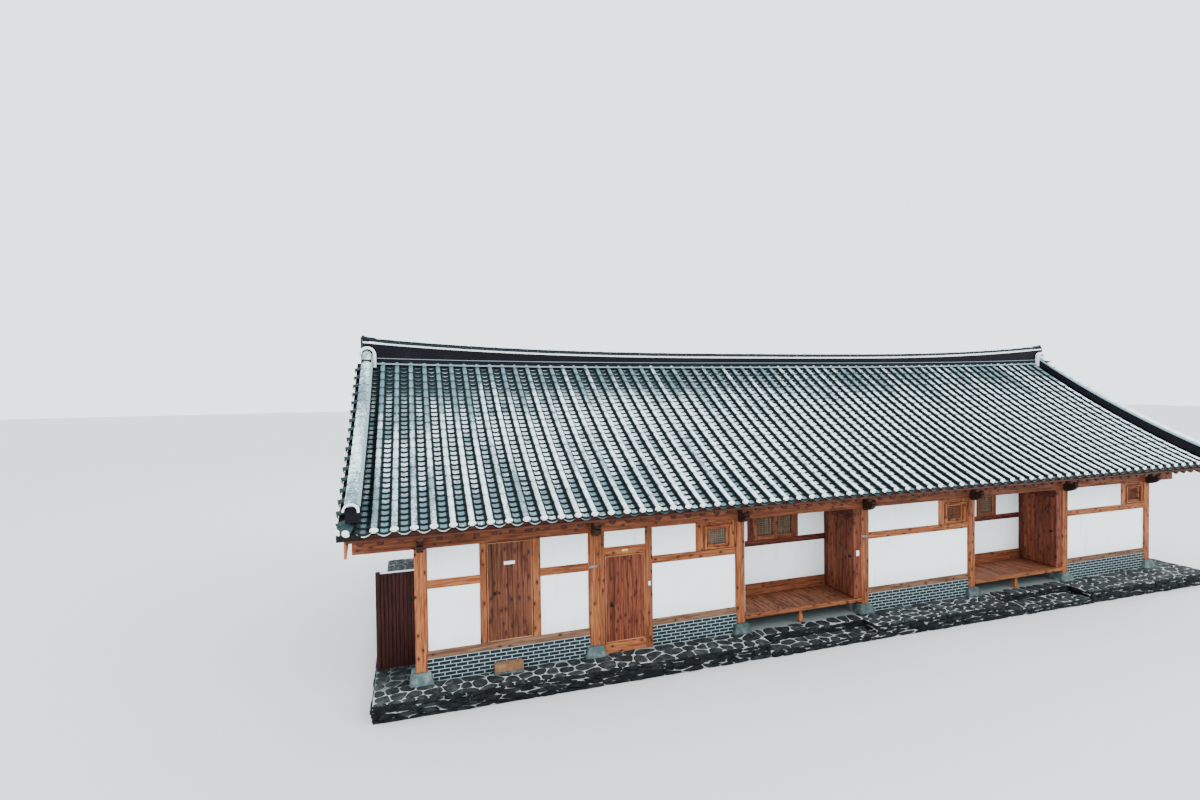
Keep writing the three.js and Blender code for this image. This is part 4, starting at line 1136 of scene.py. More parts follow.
class HANOK_OT_main_ridge(Operator):
    """Stacks the courses of the main ridge and caps them"""

    bl_idname = "hanok.main_ridge"
    bl_label = "Main ridge"

    def execute(self, context):
        stations = np.linspace(-RIDGE_END, RIDGE_END, 2 * int(RIDGE_END / 0.2) + 1)

        def foot(x):
            return tile_crest(RIDGE_FOOT) + end_lift(x, 0) - 0.07

        # What a layer follows, its underside and top from there, and half its width
        layers = (
            ("dark", foot, -0.10, 0.044, 0.105),
            ("rim", foot, 0.044, 0.076, 0.168),
            ("dark", foot, 0.076, 0.178, 0.092),
            ("rim", foot, 0.178, 0.191, 0.116),
            ("dark", ridge_top, -0.090, -0.030, 0.085),
        )
        made = {"dark": Joinery(21), "lime": Joinery(22), "rim": Joinery(23)}
        for kind, followed, low, high, half in layers:
            base = [followed(x) + low for x in stations]
            self.band(made[kind], stations, base, [followed(x) + high for x in stations], half)
        line_low, line_high = -0.152, -0.117
        spans = [(foot(x) + 0.191, ridge_top(x) + line_low) for x in stations]
        courses, gap = 6, 0.004
        for course in range(courses):
            base = [low + (high - low) * course / courses for low, high in spans]
            top = [low + (high - low) * (course + 1) / courses - gap for low, high in spans]
            self.band(made["dark"], stations, base, top, 0.112 - 0.006 * (course % 2))
            self.band(made["dark"], stations, [z - 0.005 for z in top], [z + 0.005 for z in top], 0.098)
        whole = np.linspace(-RIDGE_LINE_END, RIDGE_LINE_END, 61)
        line = [[ridge_top(x) + drop for x in whole] for drop in (line_low, line_high)]
        self.band(made["lime"], whole, *line, 0.122)
        dark = made["dark"].piece("ridge_courses", "ridge", "roof_tile")
        made["lime"].piece("ridge_lime_line", "lime", "roof_tile")
        made["rim"].piece("ridge_foot_lines", "rim", "roof_tile")
        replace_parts(dark, "main_ridge_left", "main_ridge_middle", "main_ridge_right")
        self.cap()
        self.tips()
        return {"FINISHED"}

    def cap(self):
        """Overlapping cap tiles along the whole ridge."""
        shape = trough(0.21, -1, 0.02, 0.30, 8, 0.985)
        places = []
        count = int(2 * RIDGE_TIP / 0.27)
        for k in range(count):
            x = -RIDGE_TIP + 0.02 + k * (2 * RIDGE_TIP - 0.34) / (count - 1)
            rise = math.atan2(self.cap_height(x + 0.3) - self.cap_height(x), 0.3)
            places.append(((x, 0, self.cap_height(x) - 0.088), (rise, 0, -math.pi / 2), (1, 1, 0.8)))
        set_copies("ridge_cap", shape, places, "frosted_cap", 9, 0.008)

    def cap_height(self, x):
        """Top of the cap, which curls up over its last part."""
        curled = 0.42
        curl = max(0.0, abs(x) - (RIDGE_TIP - curled)) / curled
        return ridge_top(x) + 0.085 * curl**2 - 0.012

    def band(self, joinery, stations, base, top, half):
        """A course along the ridge, between its underside and its top at each station."""
        points, faces = [], []
        for x, low, high in zip(stations, base, top):
            points += [(x, -half, low), (x, half, low), (x, half, high), (x, -half, high)]
        last = 4 * (len(stations) - 1)
        for k in range(0, last, 4):
            for i in range(4):
                j = (i + 1) % 4
                faces.append([k + j, k + 4 + j, k + 4 + i, k + i])
        faces.append([3, 2, 1, 0])
        faces.append([last + i for i in range(4)])
        joinery.add(points, faces, 0)

    def tips(self):
        """The lime-bedded end of the ridge, with its upright end tile."""
        lime = Joinery(31)
        dark = Joinery(32)
        low = tile_crest(0) + 0.1
        for sign in (-1, 1):
            x = sign * RIDGE_END
            top = ridge_top(x)
            profile = [
                (x, low),
                (sign * (RIDGE_TIP - 0.03), low + 0.20),
                (sign * (RIDGE_TIP - 0.005), top - 0.02),
                (x, top - 0.06),
            ]
            dark.prism(profile, 1, -0.10, 0.10)
            outline = []
            for a in np.linspace(0, math.pi, 11):
                outline.append((0.122 * math.cos(a), top - 0.14 + 0.15 * math.sin(a)))
            outline += [(-0.105, low + 0.05), (0.105, low + 0.05)]
            lime.prism(outline, 0, sign * RIDGE_LINE_END, sign * (RIDGE_TIP - 0.002))
        lime.piece("ridge_end_tiles", "wet", "roof_tile")
        dark.piece("ridge_ends", "ridge", "roof_tile")


class HANOK_OT_descending_ridges(Operator):
    """Builds the four descending ridges and the short tiles outside them"""

    bl_idname = "hanok.descending_ridges"
    bl_label = "Descending ridges"

    def execute(self, context):
        seed = context.scene.hanok_roof.seed
        for side in ("front", "back"):
            for hand in ("left", "right"):
                sign = -1 if (hand == "left") == (side == "front") else 1
                name = f"{side}_{hand}"
                self.arches(name, side, sign)
                self.wall(name, side, sign)
                self.cap(name, side, sign, seed + 5)
                self.outer_tiles(name, side, sign, seed + 6)
        return {"FINISHED"}

    def bed_top(self, distance):
        """Top of the bed under the tiles outside the ridge."""
        return tile_crest(distance) - 0.115 + end_lift(HALF_ROOF, distance)

    def sweep(self, joinery, side, sign, stations, section):
        """A closed section of x and height pairs, run down the verge."""
        points, faces = [], []
        for distance in stations:
            for x, height in section:
                z = height(distance) if callable(height) else verge_crest(distance) + height
                points.append(slope_point(side, sign * x, -distance, z))
        size = len(section)
        last = (len(stations) - 1) * size
        for low in range(0, last, size):
            faces += [ring[::sign] for ring in quads(low, low + size, size)]
        faces.append(list(range(size))[:: -sign])
        faces.append([last + i for i in range(size)][::sign])
        joinery.add(points, faces, 1)

    def arches(self, name, side, sign):
        """The lime arches that close the ridge at its top and at its foot."""
        arches = Joinery(44)
        hood = ((VERGE_FACE + VERGE_OUTER) / 2, verge_crest(0.16) - 0.05)
        self.arch(arches, side, sign, hood, (0.185, 0.125), 0.29, (0.125, 0.215))
        mouth = (VERGE_AXIS, verge_crest(VERGE_CAP_END) - 0.145)
        self.arch(arches, side, sign, mouth, (0.128, 0.098), 0.02, (VERGE_END, 4.60))
        arches.piece(f"verge_arches_{name}", "lime", "roof_tile")

    def wall(self, name, side, sign):
        """The stacked wall of the ridge, the lime on it and the bed that carries it."""
        dark, lime, bed = Joinery(41), Joinery(42), Joinery(43)
        near, far = VERGE_FACE + 0.02, VERGE_OUTER - 0.02
        wall_top = -0.095

        def foot(distance):
            return tile_crest(distance) - 0.03 + end_lift(HALF_ROOF, distance)

        stations = [d for d, _ in slope_stations(0.10, VERGE_END, 0.30)] + [VERGE_END]
        section = [(near, foot), (near, wall_top), (far, wall_top), (far, foot)]
        self.sweep(dark, side, sign, stations, section)
        section = [(VERGE_FACE, wall_top), (VERGE_FACE, -0.065), (near + 0.03, -0.045), (far, wall_top)]
        self.sweep(lime, side, sign, stations, section)
        edge = HALF_ROOF - 0.06
        section = [
            (VERGE_INNER, roof_underside),
            (VERGE_INNER, self.bed_top),
            (edge, self.bed_top),
            (edge, roof_underside),
        ]
        self.sweep(bed, side, sign, [*BENDS, EAVE - 0.06], section)
        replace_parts(dark.piece(f"verge_wall_{name}", "ridge", "roof_tile"), f"{name}_ridge")
        lime.piece(f"verge_lime_{name}", "rim", "roof_tile")
        bed.piece(f"verge_bed_{name}", "earth", "roof_tile")

    def cap(self, name, side, sign, seed):
        """The cap tiles, with a short steep one at the top and a tipped one at the foot."""
        shape = trough(0.22, -1, 0.012, 0.34, 8, 0.985)
        x, head, end = sign * VERGE_AXIS, 0.40, VERGE_CAP_END
        places = []
        for distance, tilt in slope_stations(0.16, end, 0.30):
            z = verge_crest(distance) - 0.115
            places.append((slope_point(side, x, -distance, z), slope_turn(side, tilt - 0.01), ONE))
        top = slope_point(side, x, -head, verge_crest(head) - 0.105)
        tilt = slope_stations(head, 0.50, 0.3)[0][1]
        places.append((top, slope_turn(side, tilt + 0.28), (1, 0.8, 1)))
        foot = slope_point(side, x, -end, verge_crest(end) - 0.115)
        places.append((foot, slope_turn(side, 0.42), ONE))
        set_copies(f"verge_cap_{name}", shape, places, "frosted_verge", seed, 0.006)

    def outer_tiles(self, name, side, sign, seed):
        """Short tiles that point out over the gable, the last three fanned round the corner."""
        shape = trough(0.135, -1, 0.013, 0.30, 6, 0.97)
        tiles, plugs = [], []
        outward = fan_turn(side, sign, 0.0)
        for distance, _ in slope_stations(0.30, 4.30, 0.305):
            z = self.bed_top(distance) + 0.028
            x = sign * (HALF_ROOF - 0.03)
            tiles.append((slope_point(side, x, -distance, z), (0.26, 0, outward), ONE))
            x = sign * (HALF_ROOF - 0.028)
            plugs.append((slope_point(side, x, -distance, z + 0.012), (0.3, 0, outward), ONE))
        for distance, spread, pull in ((4.50, 0.42, 0.0), (4.62, 0.85, 0.03), (4.66, 1.22, 0.16)):
            z = self.bed_top(distance) + 0.022
            x = sign * (HALF_ROOF - 0.04 - pull)
            turned = fan_turn(side, sign, spread)
            tiles.append((slope_point(side, x, -distance, z), (0.26, 0, turned), ONE))
            plugs.append((slope_point(side, x, -distance, z + 0.012), (0.3, 0, turned), ONE))
        set_copies(f"verge_tiles_{name}", shape, tiles, "wet", seed, 0.03)
        set_copies(f"verge_plugs_{name}", dome(0.064, 0.018), plugs, "lime", 8, 0.05)

    def arch(self, joinery, side, sign, middle, radii, leg, reach):
        """An upright arch across the ridge, whose inner foot goes down by the leg."""
        centre, base = middle
        outline = []
        for half, turn in ((radii[0], 1), (radii[1], -1)):
            ring = [(centre - half, base - leg)]
            for a in np.linspace(0, math.pi, 11):
                ring.append((centre - half * math.cos(a), base + half * math.sin(a)))
            outline += ring[::turn]
        hand = sign if side == "front" else -sign
        near = -1 if side == "front" else 1
        joinery.prism([(hand * x, z) for x, z in outline], 1, near * reach[0], near * reach[1], 0)


def fan_turn(side, sign, spread):
    """The turn that points a tile's lower end out over a gable, swung towards the eave."""
    yaw = sign * (math.pi / 2 - spread)
    return yaw if side == "front" else yaw + math.pi


def dress(node, finish):
    """Gives its finish to a solid that keeps its own shape."""
    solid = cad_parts[node]
    if not solid.material_slots:
        solid.data.materials.append(None)
    for held in solid.material_slots:
        held.material = finish_of(finish)


def planks(joinery, low, high, width, across, gap=0.003, edge=0.004, matrix=None):
    """Boards side by side between two opposite corners."""
    count = max(1, round((high[across] - low[across]) / width))
    step = (high[across] - low[across]) / count
    for k in range(count):
        first, last = list(low), list(high)
        first[across] = low[across] + k * step + gap / 2
        last[across] = first[across] + step - gap
        joinery.board(first, last, edge, matrix)


def beam_lengths():
    """The lengths of timber between the posts, and the two that reach the bargeboards."""
    ends = [0.001 - VERGE_BOARD, *COLUMNS, VERGE_BOARD - 0.001]
    return list(zip(ends[:-1], ends[1:]))


class HANOK_OT_eaves(Operator):
    """Lays the rafters, the boards on them and the fascia that carries the tiles' edge"""

    bl_idname = "hanok.eaves"
    bl_label = "Rafters and eaves"

    def execute(self, context):
        slope = math.atan(RAFTER_SLOPE)
        length = (RAFTER_END - MID_PURLIN) / math.cos(slope)
        half, flat = RAFTER / 2, RAFTER / 4
        outline = [(-flat, 0), (flat, 0), (half, flat), (half, RAFTER), (-half, RAFTER), (-half, flat)]
        near, far = (-VERGE_BOARD, 0, RAFTER), (VERGE_BOARD, length, RAFTER + 0.024)
        for side in ("front", "back"):
            rafters, boards = Joinery(51), Joinery(52)
            for index in range(RAFTERS):
                x = (index - (RAFTERS - 1) / 2) * RAFTER_STEP
                rafters.prism(outline, 1, 0, length, 1, matrix=self.down_slope(side, x, slope))
            planks(boards, near, far, 0.18, 1, matrix=self.down_slope(side, 0, slope))
            # Rafters and the boards on them are painted near black-brown as the shade under the eaves
            made = rafters.piece(f"rafters_of_{side}", "rafter_pine")
            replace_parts(made, f"rafters_{side}")
            boards.piece(f"eave_boards_{side}", "rafter_pine")
            self.fascia(side)
        return {"FINISHED"}

    def fascia(self, side):
        """Two boards on edge under the tiles, the outer one lower, painted near black-brown as shade."""
        boards = Joinery(53)
        y, low = EAVE - 0.045, board_top(EAVE) - 0.004
        for start, end in beam_lengths():
            for back, rise in ((0.0, 0.038), (0.045, 0.105)):
                near = slope_point(side, start, back - y, low)
                boards.board(near, slope_point(side, end, back + 0.03 - y, low + rise), 0.004)
        boards.piece(f"fascia_{side}", "rafter_pine")

    def down_slope(self, side, x, slope):
        """A frame at the top of a rafter: Y runs down the slope and Z stands square to it."""
        turn = Matrix.Rotation(math.pi, 4, "Z") @ Matrix.Rotation(-slope, 4, "X")
        place = Matrix.Translation((x, -MID_PURLIN, rafter_underside(MID_PURLIN))) @ turn
        return place if side == "front" else Matrix.Rotation(math.pi, 4, "Z") @ place


class HANOK_OT_beams(Operator):
    """Sets the eave beams with their round purlins, the ridge purlin and the bracket heads"""

    bl_idname = "hanok.beams"
    bl_label = "Beams and purlins"

    def execute(self, context):
        radius = 0.125
        centre = rafter_underside(POST_AXIS) - (radius + 0.0002) * math.hypot(1, RAFTER_SLOPE)
        for sign, name in ((-1, "front_beam"), (1, "rear_beam")):
            timbers, round_timbers = Joinery(61), Joinery(64)
            y = sign * abs(POST_AXIS)
            for start, end in beam_lengths():
                timbers.board((start, y - 0.085, BEAM[0]), (end, y + 0.085, BEAM[1]))
                timbers.board((start, y - 0.05, BEAM[1]), (end, y + 0.05, centre - 0.10))
                round_timbers.rod((start, y, centre), (end, y, centre), radius, 20)
            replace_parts(timbers.piece(f"{name}_timbers", "beam_pine"), name)
            round_timbers.piece(f"{name}_purlin", "eave_pine")
        top = Joinery(62)
        for start, end in beam_lengths():
            top.board((start, -0.11, 5.40), (end, 0.11, 5.639))
        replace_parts(top.piece("ridge_purlin_timbers", "eave_pine"), "ridge_purlin")
        heads = Joinery(63)
        nose = [(-0.015, 2.64), (0.10, 2.645), (0.20, 2.685), (0.27, 2.755), (0.29, 2.80)]
        nose += [(0.262, 2.815), (0.275, 2.86), (0.25, 2.899), (-0.015, 2.899)]
        for sign in (-1, 1):
            outline = [(sign * (reach - FRONT), z) for reach, z in nose]
            for x in COLUMNS:
                heads.prism(outline, 0, x - 0.055, x + 0.055, 1)
        heads.piece("bracket_heads", "dark_pine")
        return {"FINISHED"}


class HANOK_OT_front_frames(Operator):
    """Builds the posts, sills, rails and jambs of the front"""

    bl_idname = "hanok.front_frames"
    bl_label = "Front timbers"

    def execute(self, context):
        base = (0.1, 3.1, *SILL, FRAME_BACK)
        strips = [(0.1, 0.12, SILL[1], BEAM[0], RAIL_BACK), (3.08, 3.1, SILL[1], BEAM[0], RAIL_BACK)]
        stile = (2.175, 2.345, RAIL[1], BEAM[0], RAIL_BACK)
        plain_bay = [base, (0.12, 3.08, *RAIL, RAIL_BACK), stile, *strips]
        bays = {
            0: [
                base,
                (1.03, 1.15, SILL[1], BEAM[0], FRAME_BACK),
                (2.0, 2.15, SILL[1], BEAM[0], FRAME_BACK),
                (0.12, 1.03, *RAIL, RAIL_BACK),
                (2.15, 3.08, *RAIL, RAIL_BACK),
                *strips,
            ],
            1: [
                (0.1, 0.21, PLATFORM_TOP, BEAM[0], FRAME_BACK),
                (1.06, 1.21, PLATFORM_TOP, BEAM[0], FRAME_BACK),
                (0.21, 1.06, PLATFORM_TOP, PAD_TOP, FRAME_BACK),
                (0.21, 1.06, DOOR_2_TOP, LINTEL_TOP, FRAME_BACK),
                (1.21, 3.1, *SILL, FRAME_BACK),
                (1.21, 3.08, *RAIL, RAIL_BACK),
                stile,
                strips[1],
            ],
            3: plain_bay,
            5: plain_bay,
        }
        posts = {0: [1], 1: [2], 3: [3, 4], 5: [5]}
        for index, spans in bays.items():
            timbers, sill = Joinery(70 + index), Joinery(170 + index)
            for column in posts[index]:
                corner_post(timbers, COLUMNS[column])
            for left, right, bottom, top, back in spans:
                low = (COLUMNS[index] + left, FRONT + FRAME_FACE, bottom)
                kept = sill if top == SILL[1] else timbers
                kept.board(low, (COLUMNS[index] + right, FRONT + back, top))
            bay = f"bay_{index + 1}"
            sill.piece(f"{bay}_sill", "sill_pine")
            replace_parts(timbers.piece(f"{bay}_timbers", "pine"), f"{bay}_frame")
        return {"FINISHED"}


def corner_post(timbers, x):
    """A square post from its stone pad to the beam."""
    timbers.board((x - POST / 2, FRONT, PAD_TOP), (x + POST / 2, FRONT + POST, BEAM[0]), 0.012)


class HANOK_OT_side_frames(Operator):
    """Builds the timbers of the two gables and the back, the bargeboards and the side screen"""

    bl_idname = "hanok.side_frames"
    bl_label = "Gable and back timbers"

    def execute(self, context):
        planted, rail_face = OUTER - 0.1, OUTER - FRAME_FACE
        for sign, name, column in ((-1, "left", 0), (1, "right", 6)):
            timbers = Joinery(80 + column)
            corner_post(timbers, COLUMNS[column])
            spans = [
                (rail_face, -3.57, 3.57, *SILL),
                (rail_face, -3.57, 3.57, *RAIL),
                (OUTER, -3.535, 3.535, *BEAM),
                (rail_face, -0.09, 0.09, BEAM[1], 5.40),
                (rail_face - 0.002, -1.7, 1.7, 4.05, 4.20),
                (OUTER, -1.357, -1.157, SILL[0], BEAM[0]),
                (OUTER, 1.157, 1.357, SILL[0], BEAM[0]),
            ]
            for face, near, far, bottom, top in spans:
                timbers.board((sign * planted, near, bottom), (sign * face, far, top))
            made = timbers.piece(f"{name}_gable_timbers", "pine")
            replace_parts(made, f"{name}_gable_frame")
            self.bargeboard(sign, name)
        timbers = Joinery(87)
        back = -FRONT
        for index, x in enumerate(COLUMNS):
            depth = POST if index in (0, 6) else 0.1
            timbers.board((x - 0.1, back - depth, SILL[0]), (x + 0.1, back, BEAM[0]), 0.012)
        for start, end in zip(COLUMNS[:-1], COLUMNS[1:]):
            for low, high in (SILL, RAIL):
                timbers.board((start + 0.1, back - 0.1, low), (end - 0.1, back - FRAME_FACE, high))
        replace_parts(timbers.piece("rear_timbers", "pine"), "rear_frame")
        self.screen()
        return {"FINISHED"}

    def bargeboard(self, sign, name):
        """Two curved boards that meet under the ridge, with a thin batten along their top."""
        distances = [*BENDS, 4.56]
        boards = Joinery(88)
        inner, outer = sign * VERGE_BOARD, sign * (VERGE_BOARD + 0.038)
        for hand in (-1, 1):
            top = [(hand * d, roof_underside(d) - 0.002) for d in distances]
            deep = [(y, z - 0.33) for y, z in top]
            boards.prism(top + deep[::-1], 0, inner, outer, 1)
            strip = [(y, z - 0.045) for y, z in top]
            boards.prism(top + strip[::-1], 0, outer, outer + sign * 0.016, 1)
        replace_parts(boards.piece(f"{name}_bargeboards", "pine"), f"{name}_bargeboard")

    def screen(self):
        """The low board screen beside the left gable, with its end post and pale capping."""
        boards, capping = Joinery(89), Joinery(90)
        left, right, y, top = -10.30, -9.69, FRONT + 0.8, 2.08
        planks(boards, (left, y, PLATFORM_TOP + 0.002), (right, y + 0.022, top), 0.068, 0, 0.006, 0.005)
        boards.board((left, y + 0.021, PLATFORM_TOP + 0.004), (right, y + 0.030, top - 0.002))
        for low in (0.55, 1.75):
            boards.board((left, y + 0.03, low), (right, y + 0.05, low + 0.1))
        boards.board((left - 0.08, y - 0.02, PLATFORM_TOP + 0.002), (left, y + 0.05, top + 0.035))
        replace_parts(boards.piece("side_screen_boards", "screen_board", "red_timber"), "side_screen")
        capping.board((left, y - 0.01, top), (right, y + 0.045, top + 0.02))
        capping.piece("side_screen_capping", "plate", "red_timber")


class HANOK_OT_walls(Operator):
    """Plasters the wall panels, finishes the room's floor and sets the bricks and the stone pads"""

    bl_idname = "hanok.walls"
    bl_label = "Plaster and brick"

    def execute(self, context):
        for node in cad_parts:
            if "_wall" in node:
                dress(node, "white_plaster")
        dress("floor", "room_floor")
        self.bricks(context.scene.hanok_wall)
        self.pads()
        return {"FINISHED"}

    def bricks(self, wall):
        """Runs of brick in half bond, on the mortar that shows between them."""
        front, back, face = FRONT + BRICK_INSET, -FRONT - BRICK_INSET, OUTER - BRICK_INSET
        inside, deep = -FRONT - 0.2, OUTER - 0.2
        mortar = Joinery(91)
        runs = [(COLUMNS[k] + (1.21 if k == 1 else 0.1), COLUMNS[k] + 3.1) for k in (0, 1, 3, 5)]
        places = []
        for left, right in runs:
            mortar.board((left, front, PLATFORM_TOP), (right, FRONT + 0.18, SILL[0]), 0)
            places += self.run(wall, (left, front), (1, 0), right - left)
        mortar.board((-face, inside, PLATFORM_TOP), (face, back, SILL[0]), 0)
        places += self.run(wall, (face, back), (-1, 0), 2 * face)
        for sign in (-1, 1):
            start = FRONT + POST if sign > 0 else back
            mortar.board((sign * deep, FRONT + POST, PLATFORM_TOP), (sign * face, inside, SILL[0]), 0)
            places += self.run(wall, (sign * face, start), (0, sign), 7.32)
        made = mortar.piece("brick_joints", "mortar", "brick")
        bases = [f"bay_{k}_brick_base" for k in (1, 2, 4, 6)]
        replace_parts(made, *bases, "rear_brick_base")
        brick = Joinery(92)
        length, height = wall.brick_step - wall.joint, wall.course - wall.joint
        brick.board((-length / 2, -0.004, -height / 2), (length / 2, 0.02, height / 2), 0.0025)
        set_copies("bricks", brick.mesh("brick"), places, "dark_brick", 12, 0.004)

    def run(self, wall, start, along, length):
        """Places for the bricks of one face, cut where they meet its ends."""
        places = []
        full = wall.brick_step - wall.joint
        turn = (0, 0, math.atan2(along[1], along[0]))
        for row in range(6):
            z = PLATFORM_TOP + 0.004 + (row + 0.5) * wall.course
            brick = -0.5 * wall.brick_step * (row % 2)
            while brick < length:
                low, high = max(brick, 0.0), min(brick + full, length)
                if high - low > 0.02:
                    middle = (low + high) / 2
                    spot = (start[0] + along[0] * middle, start[1] + along[1] * middle, z)
                    places.append((spot, turn, ((high - low) / full, 1, 1)))
                brick += wall.brick_step
        return places

    def pads(self):
        """Tapered granite under each front post, with a worn top edge."""
        pads = Joinery(93)
        chance = random.Random(93)
        foot, shoulder = PLATFORM_TOP - 0.01, PLATFORM_TOP + 0.02
        rings = ((0.208, foot), (0.205, shoulder), (0.158, 0.488), (0.146, PAD_TOP))
        cut = 0.018
        for x in COLUMNS:
            points = []
            for half, z in rings:
                corners = [(1, 1 - cut / half), (1 - cut / half, 1)]
                ring = list(corners)
                for _ in range(3):
                    corners = [(-b, a) for a, b in corners]
                    ring += corners
                for a, b in ring:
                    wear = chance.uniform(-0.003, 0.003)
                    points.append((x + half * a + wear, POST_AXIS + half * b - wear, z))
            faces = [list(range(8))[::-1], list(range(24, 32))]
            for low in (0, 8, 16):
                faces += quads(low, low + 8, 8)
            pads.add(points, faces)
        pads.piece("post_pads", "granite", "stone")


def clipped(polygon, point, normal):
    """The part of a convex outline that lies behind a line."""
    kept = []
    heights = [(p[0] - point[0]) * normal[0] + (p[1] - point[1]) * normal[1] for p in polygon]
    for (p, q), (a, b) in zip(sides_of(polygon), sides_of(heights)):
        if a <= 0:
            kept.append(p)
        if (a < 0 < b) or (b < 0 < a):
            share = a / (a - b)
            kept.append((p[0] + share * (q[0] - p[0]), p[1] + share * (q[1] - p[1])))
    return kept


def shrunk(polygon, amount):
    """A convex outline drawn in by an amount on every side."""
    turn = 1 if signed_area(polygon) > 0 else -1
    kept = polygon
    for p, q in sides_of(polygon):
        dx, dy = q[0] - p[0], q[1] - p[1]
        size = math.hypot(dx, dy)
        if size < 1e-6 or not kept:
            continue
        normal = (turn * dy / size, -turn * dx / size)
        kept = clipped(kept, (p[0] - normal[0] * amount, p[1] - normal[1] * amount), normal)
    return kept


def rounded(polygon):
    """An outline with its corners cut once."""
    points = []
    for p, q in sides_of(polygon):
        points.append((0.76 * p[0] + 0.24 * q[0], 0.76 * p[1] + 0.24 * q[1]))
        points.append((0.24 * p[0] + 0.76 * q[0], 0.24 * p[1] + 0.76 * q[1]))
    return points


def span(points, axis):
    values = [p[axis] for p in points]
    return max(values) - min(values)


def stones_in(outline, width, height, joint, chance):
    """Outlines of stones that fill a convex outline, each about a width by a height."""
    rows = max(1, round(span(outline, 1) / height))
    step = span(outline, 1) / rows
    low_u, low_v = (min(p[axis] for p in outline) for axis in (0, 1))
    sites = {}
    for row in range(-1, rows + 1):
        for column in range(-2, int(span(outline, 0) / width) + 3):
            u = low_u + (column + 0.5 * (row % 2) + chance.uniform(-0.36, 0.36)) * width
            v = low_v + (row + 0.5 + chance.uniform(-0.27, 0.27)) * step
            if chance.random() > 0.13:
                sites[column, row] = (u, v)
    near = [(dc, dr) for dr in range(-2, 3) for dc in range(-2, 3) if dr or dc]
    shapes = []
    for (column, row), (u, v) in sites.items():
        cell = list(outline)
        for dc, dr in near:
            other = sites.get((column + dc, row + dr))
            if other and len(cell) > 2:
                normal = ((other[0] - u) / width**2, (other[1] - v) / step**2)
                cell = clipped(cell, ((u + other[0]) / 2, (v + other[1]) / 2), normal)
        if len(cell) > 2:
            cell = shrunk(cell, joint * chance.uniform(0.3, 0.7))
        if len(cell) > 2 and span(cell, 0) > 0.25 * width and span(cell, 1) > 0.3 * step:
            shapes.append(rounded(cell))
    return shapes


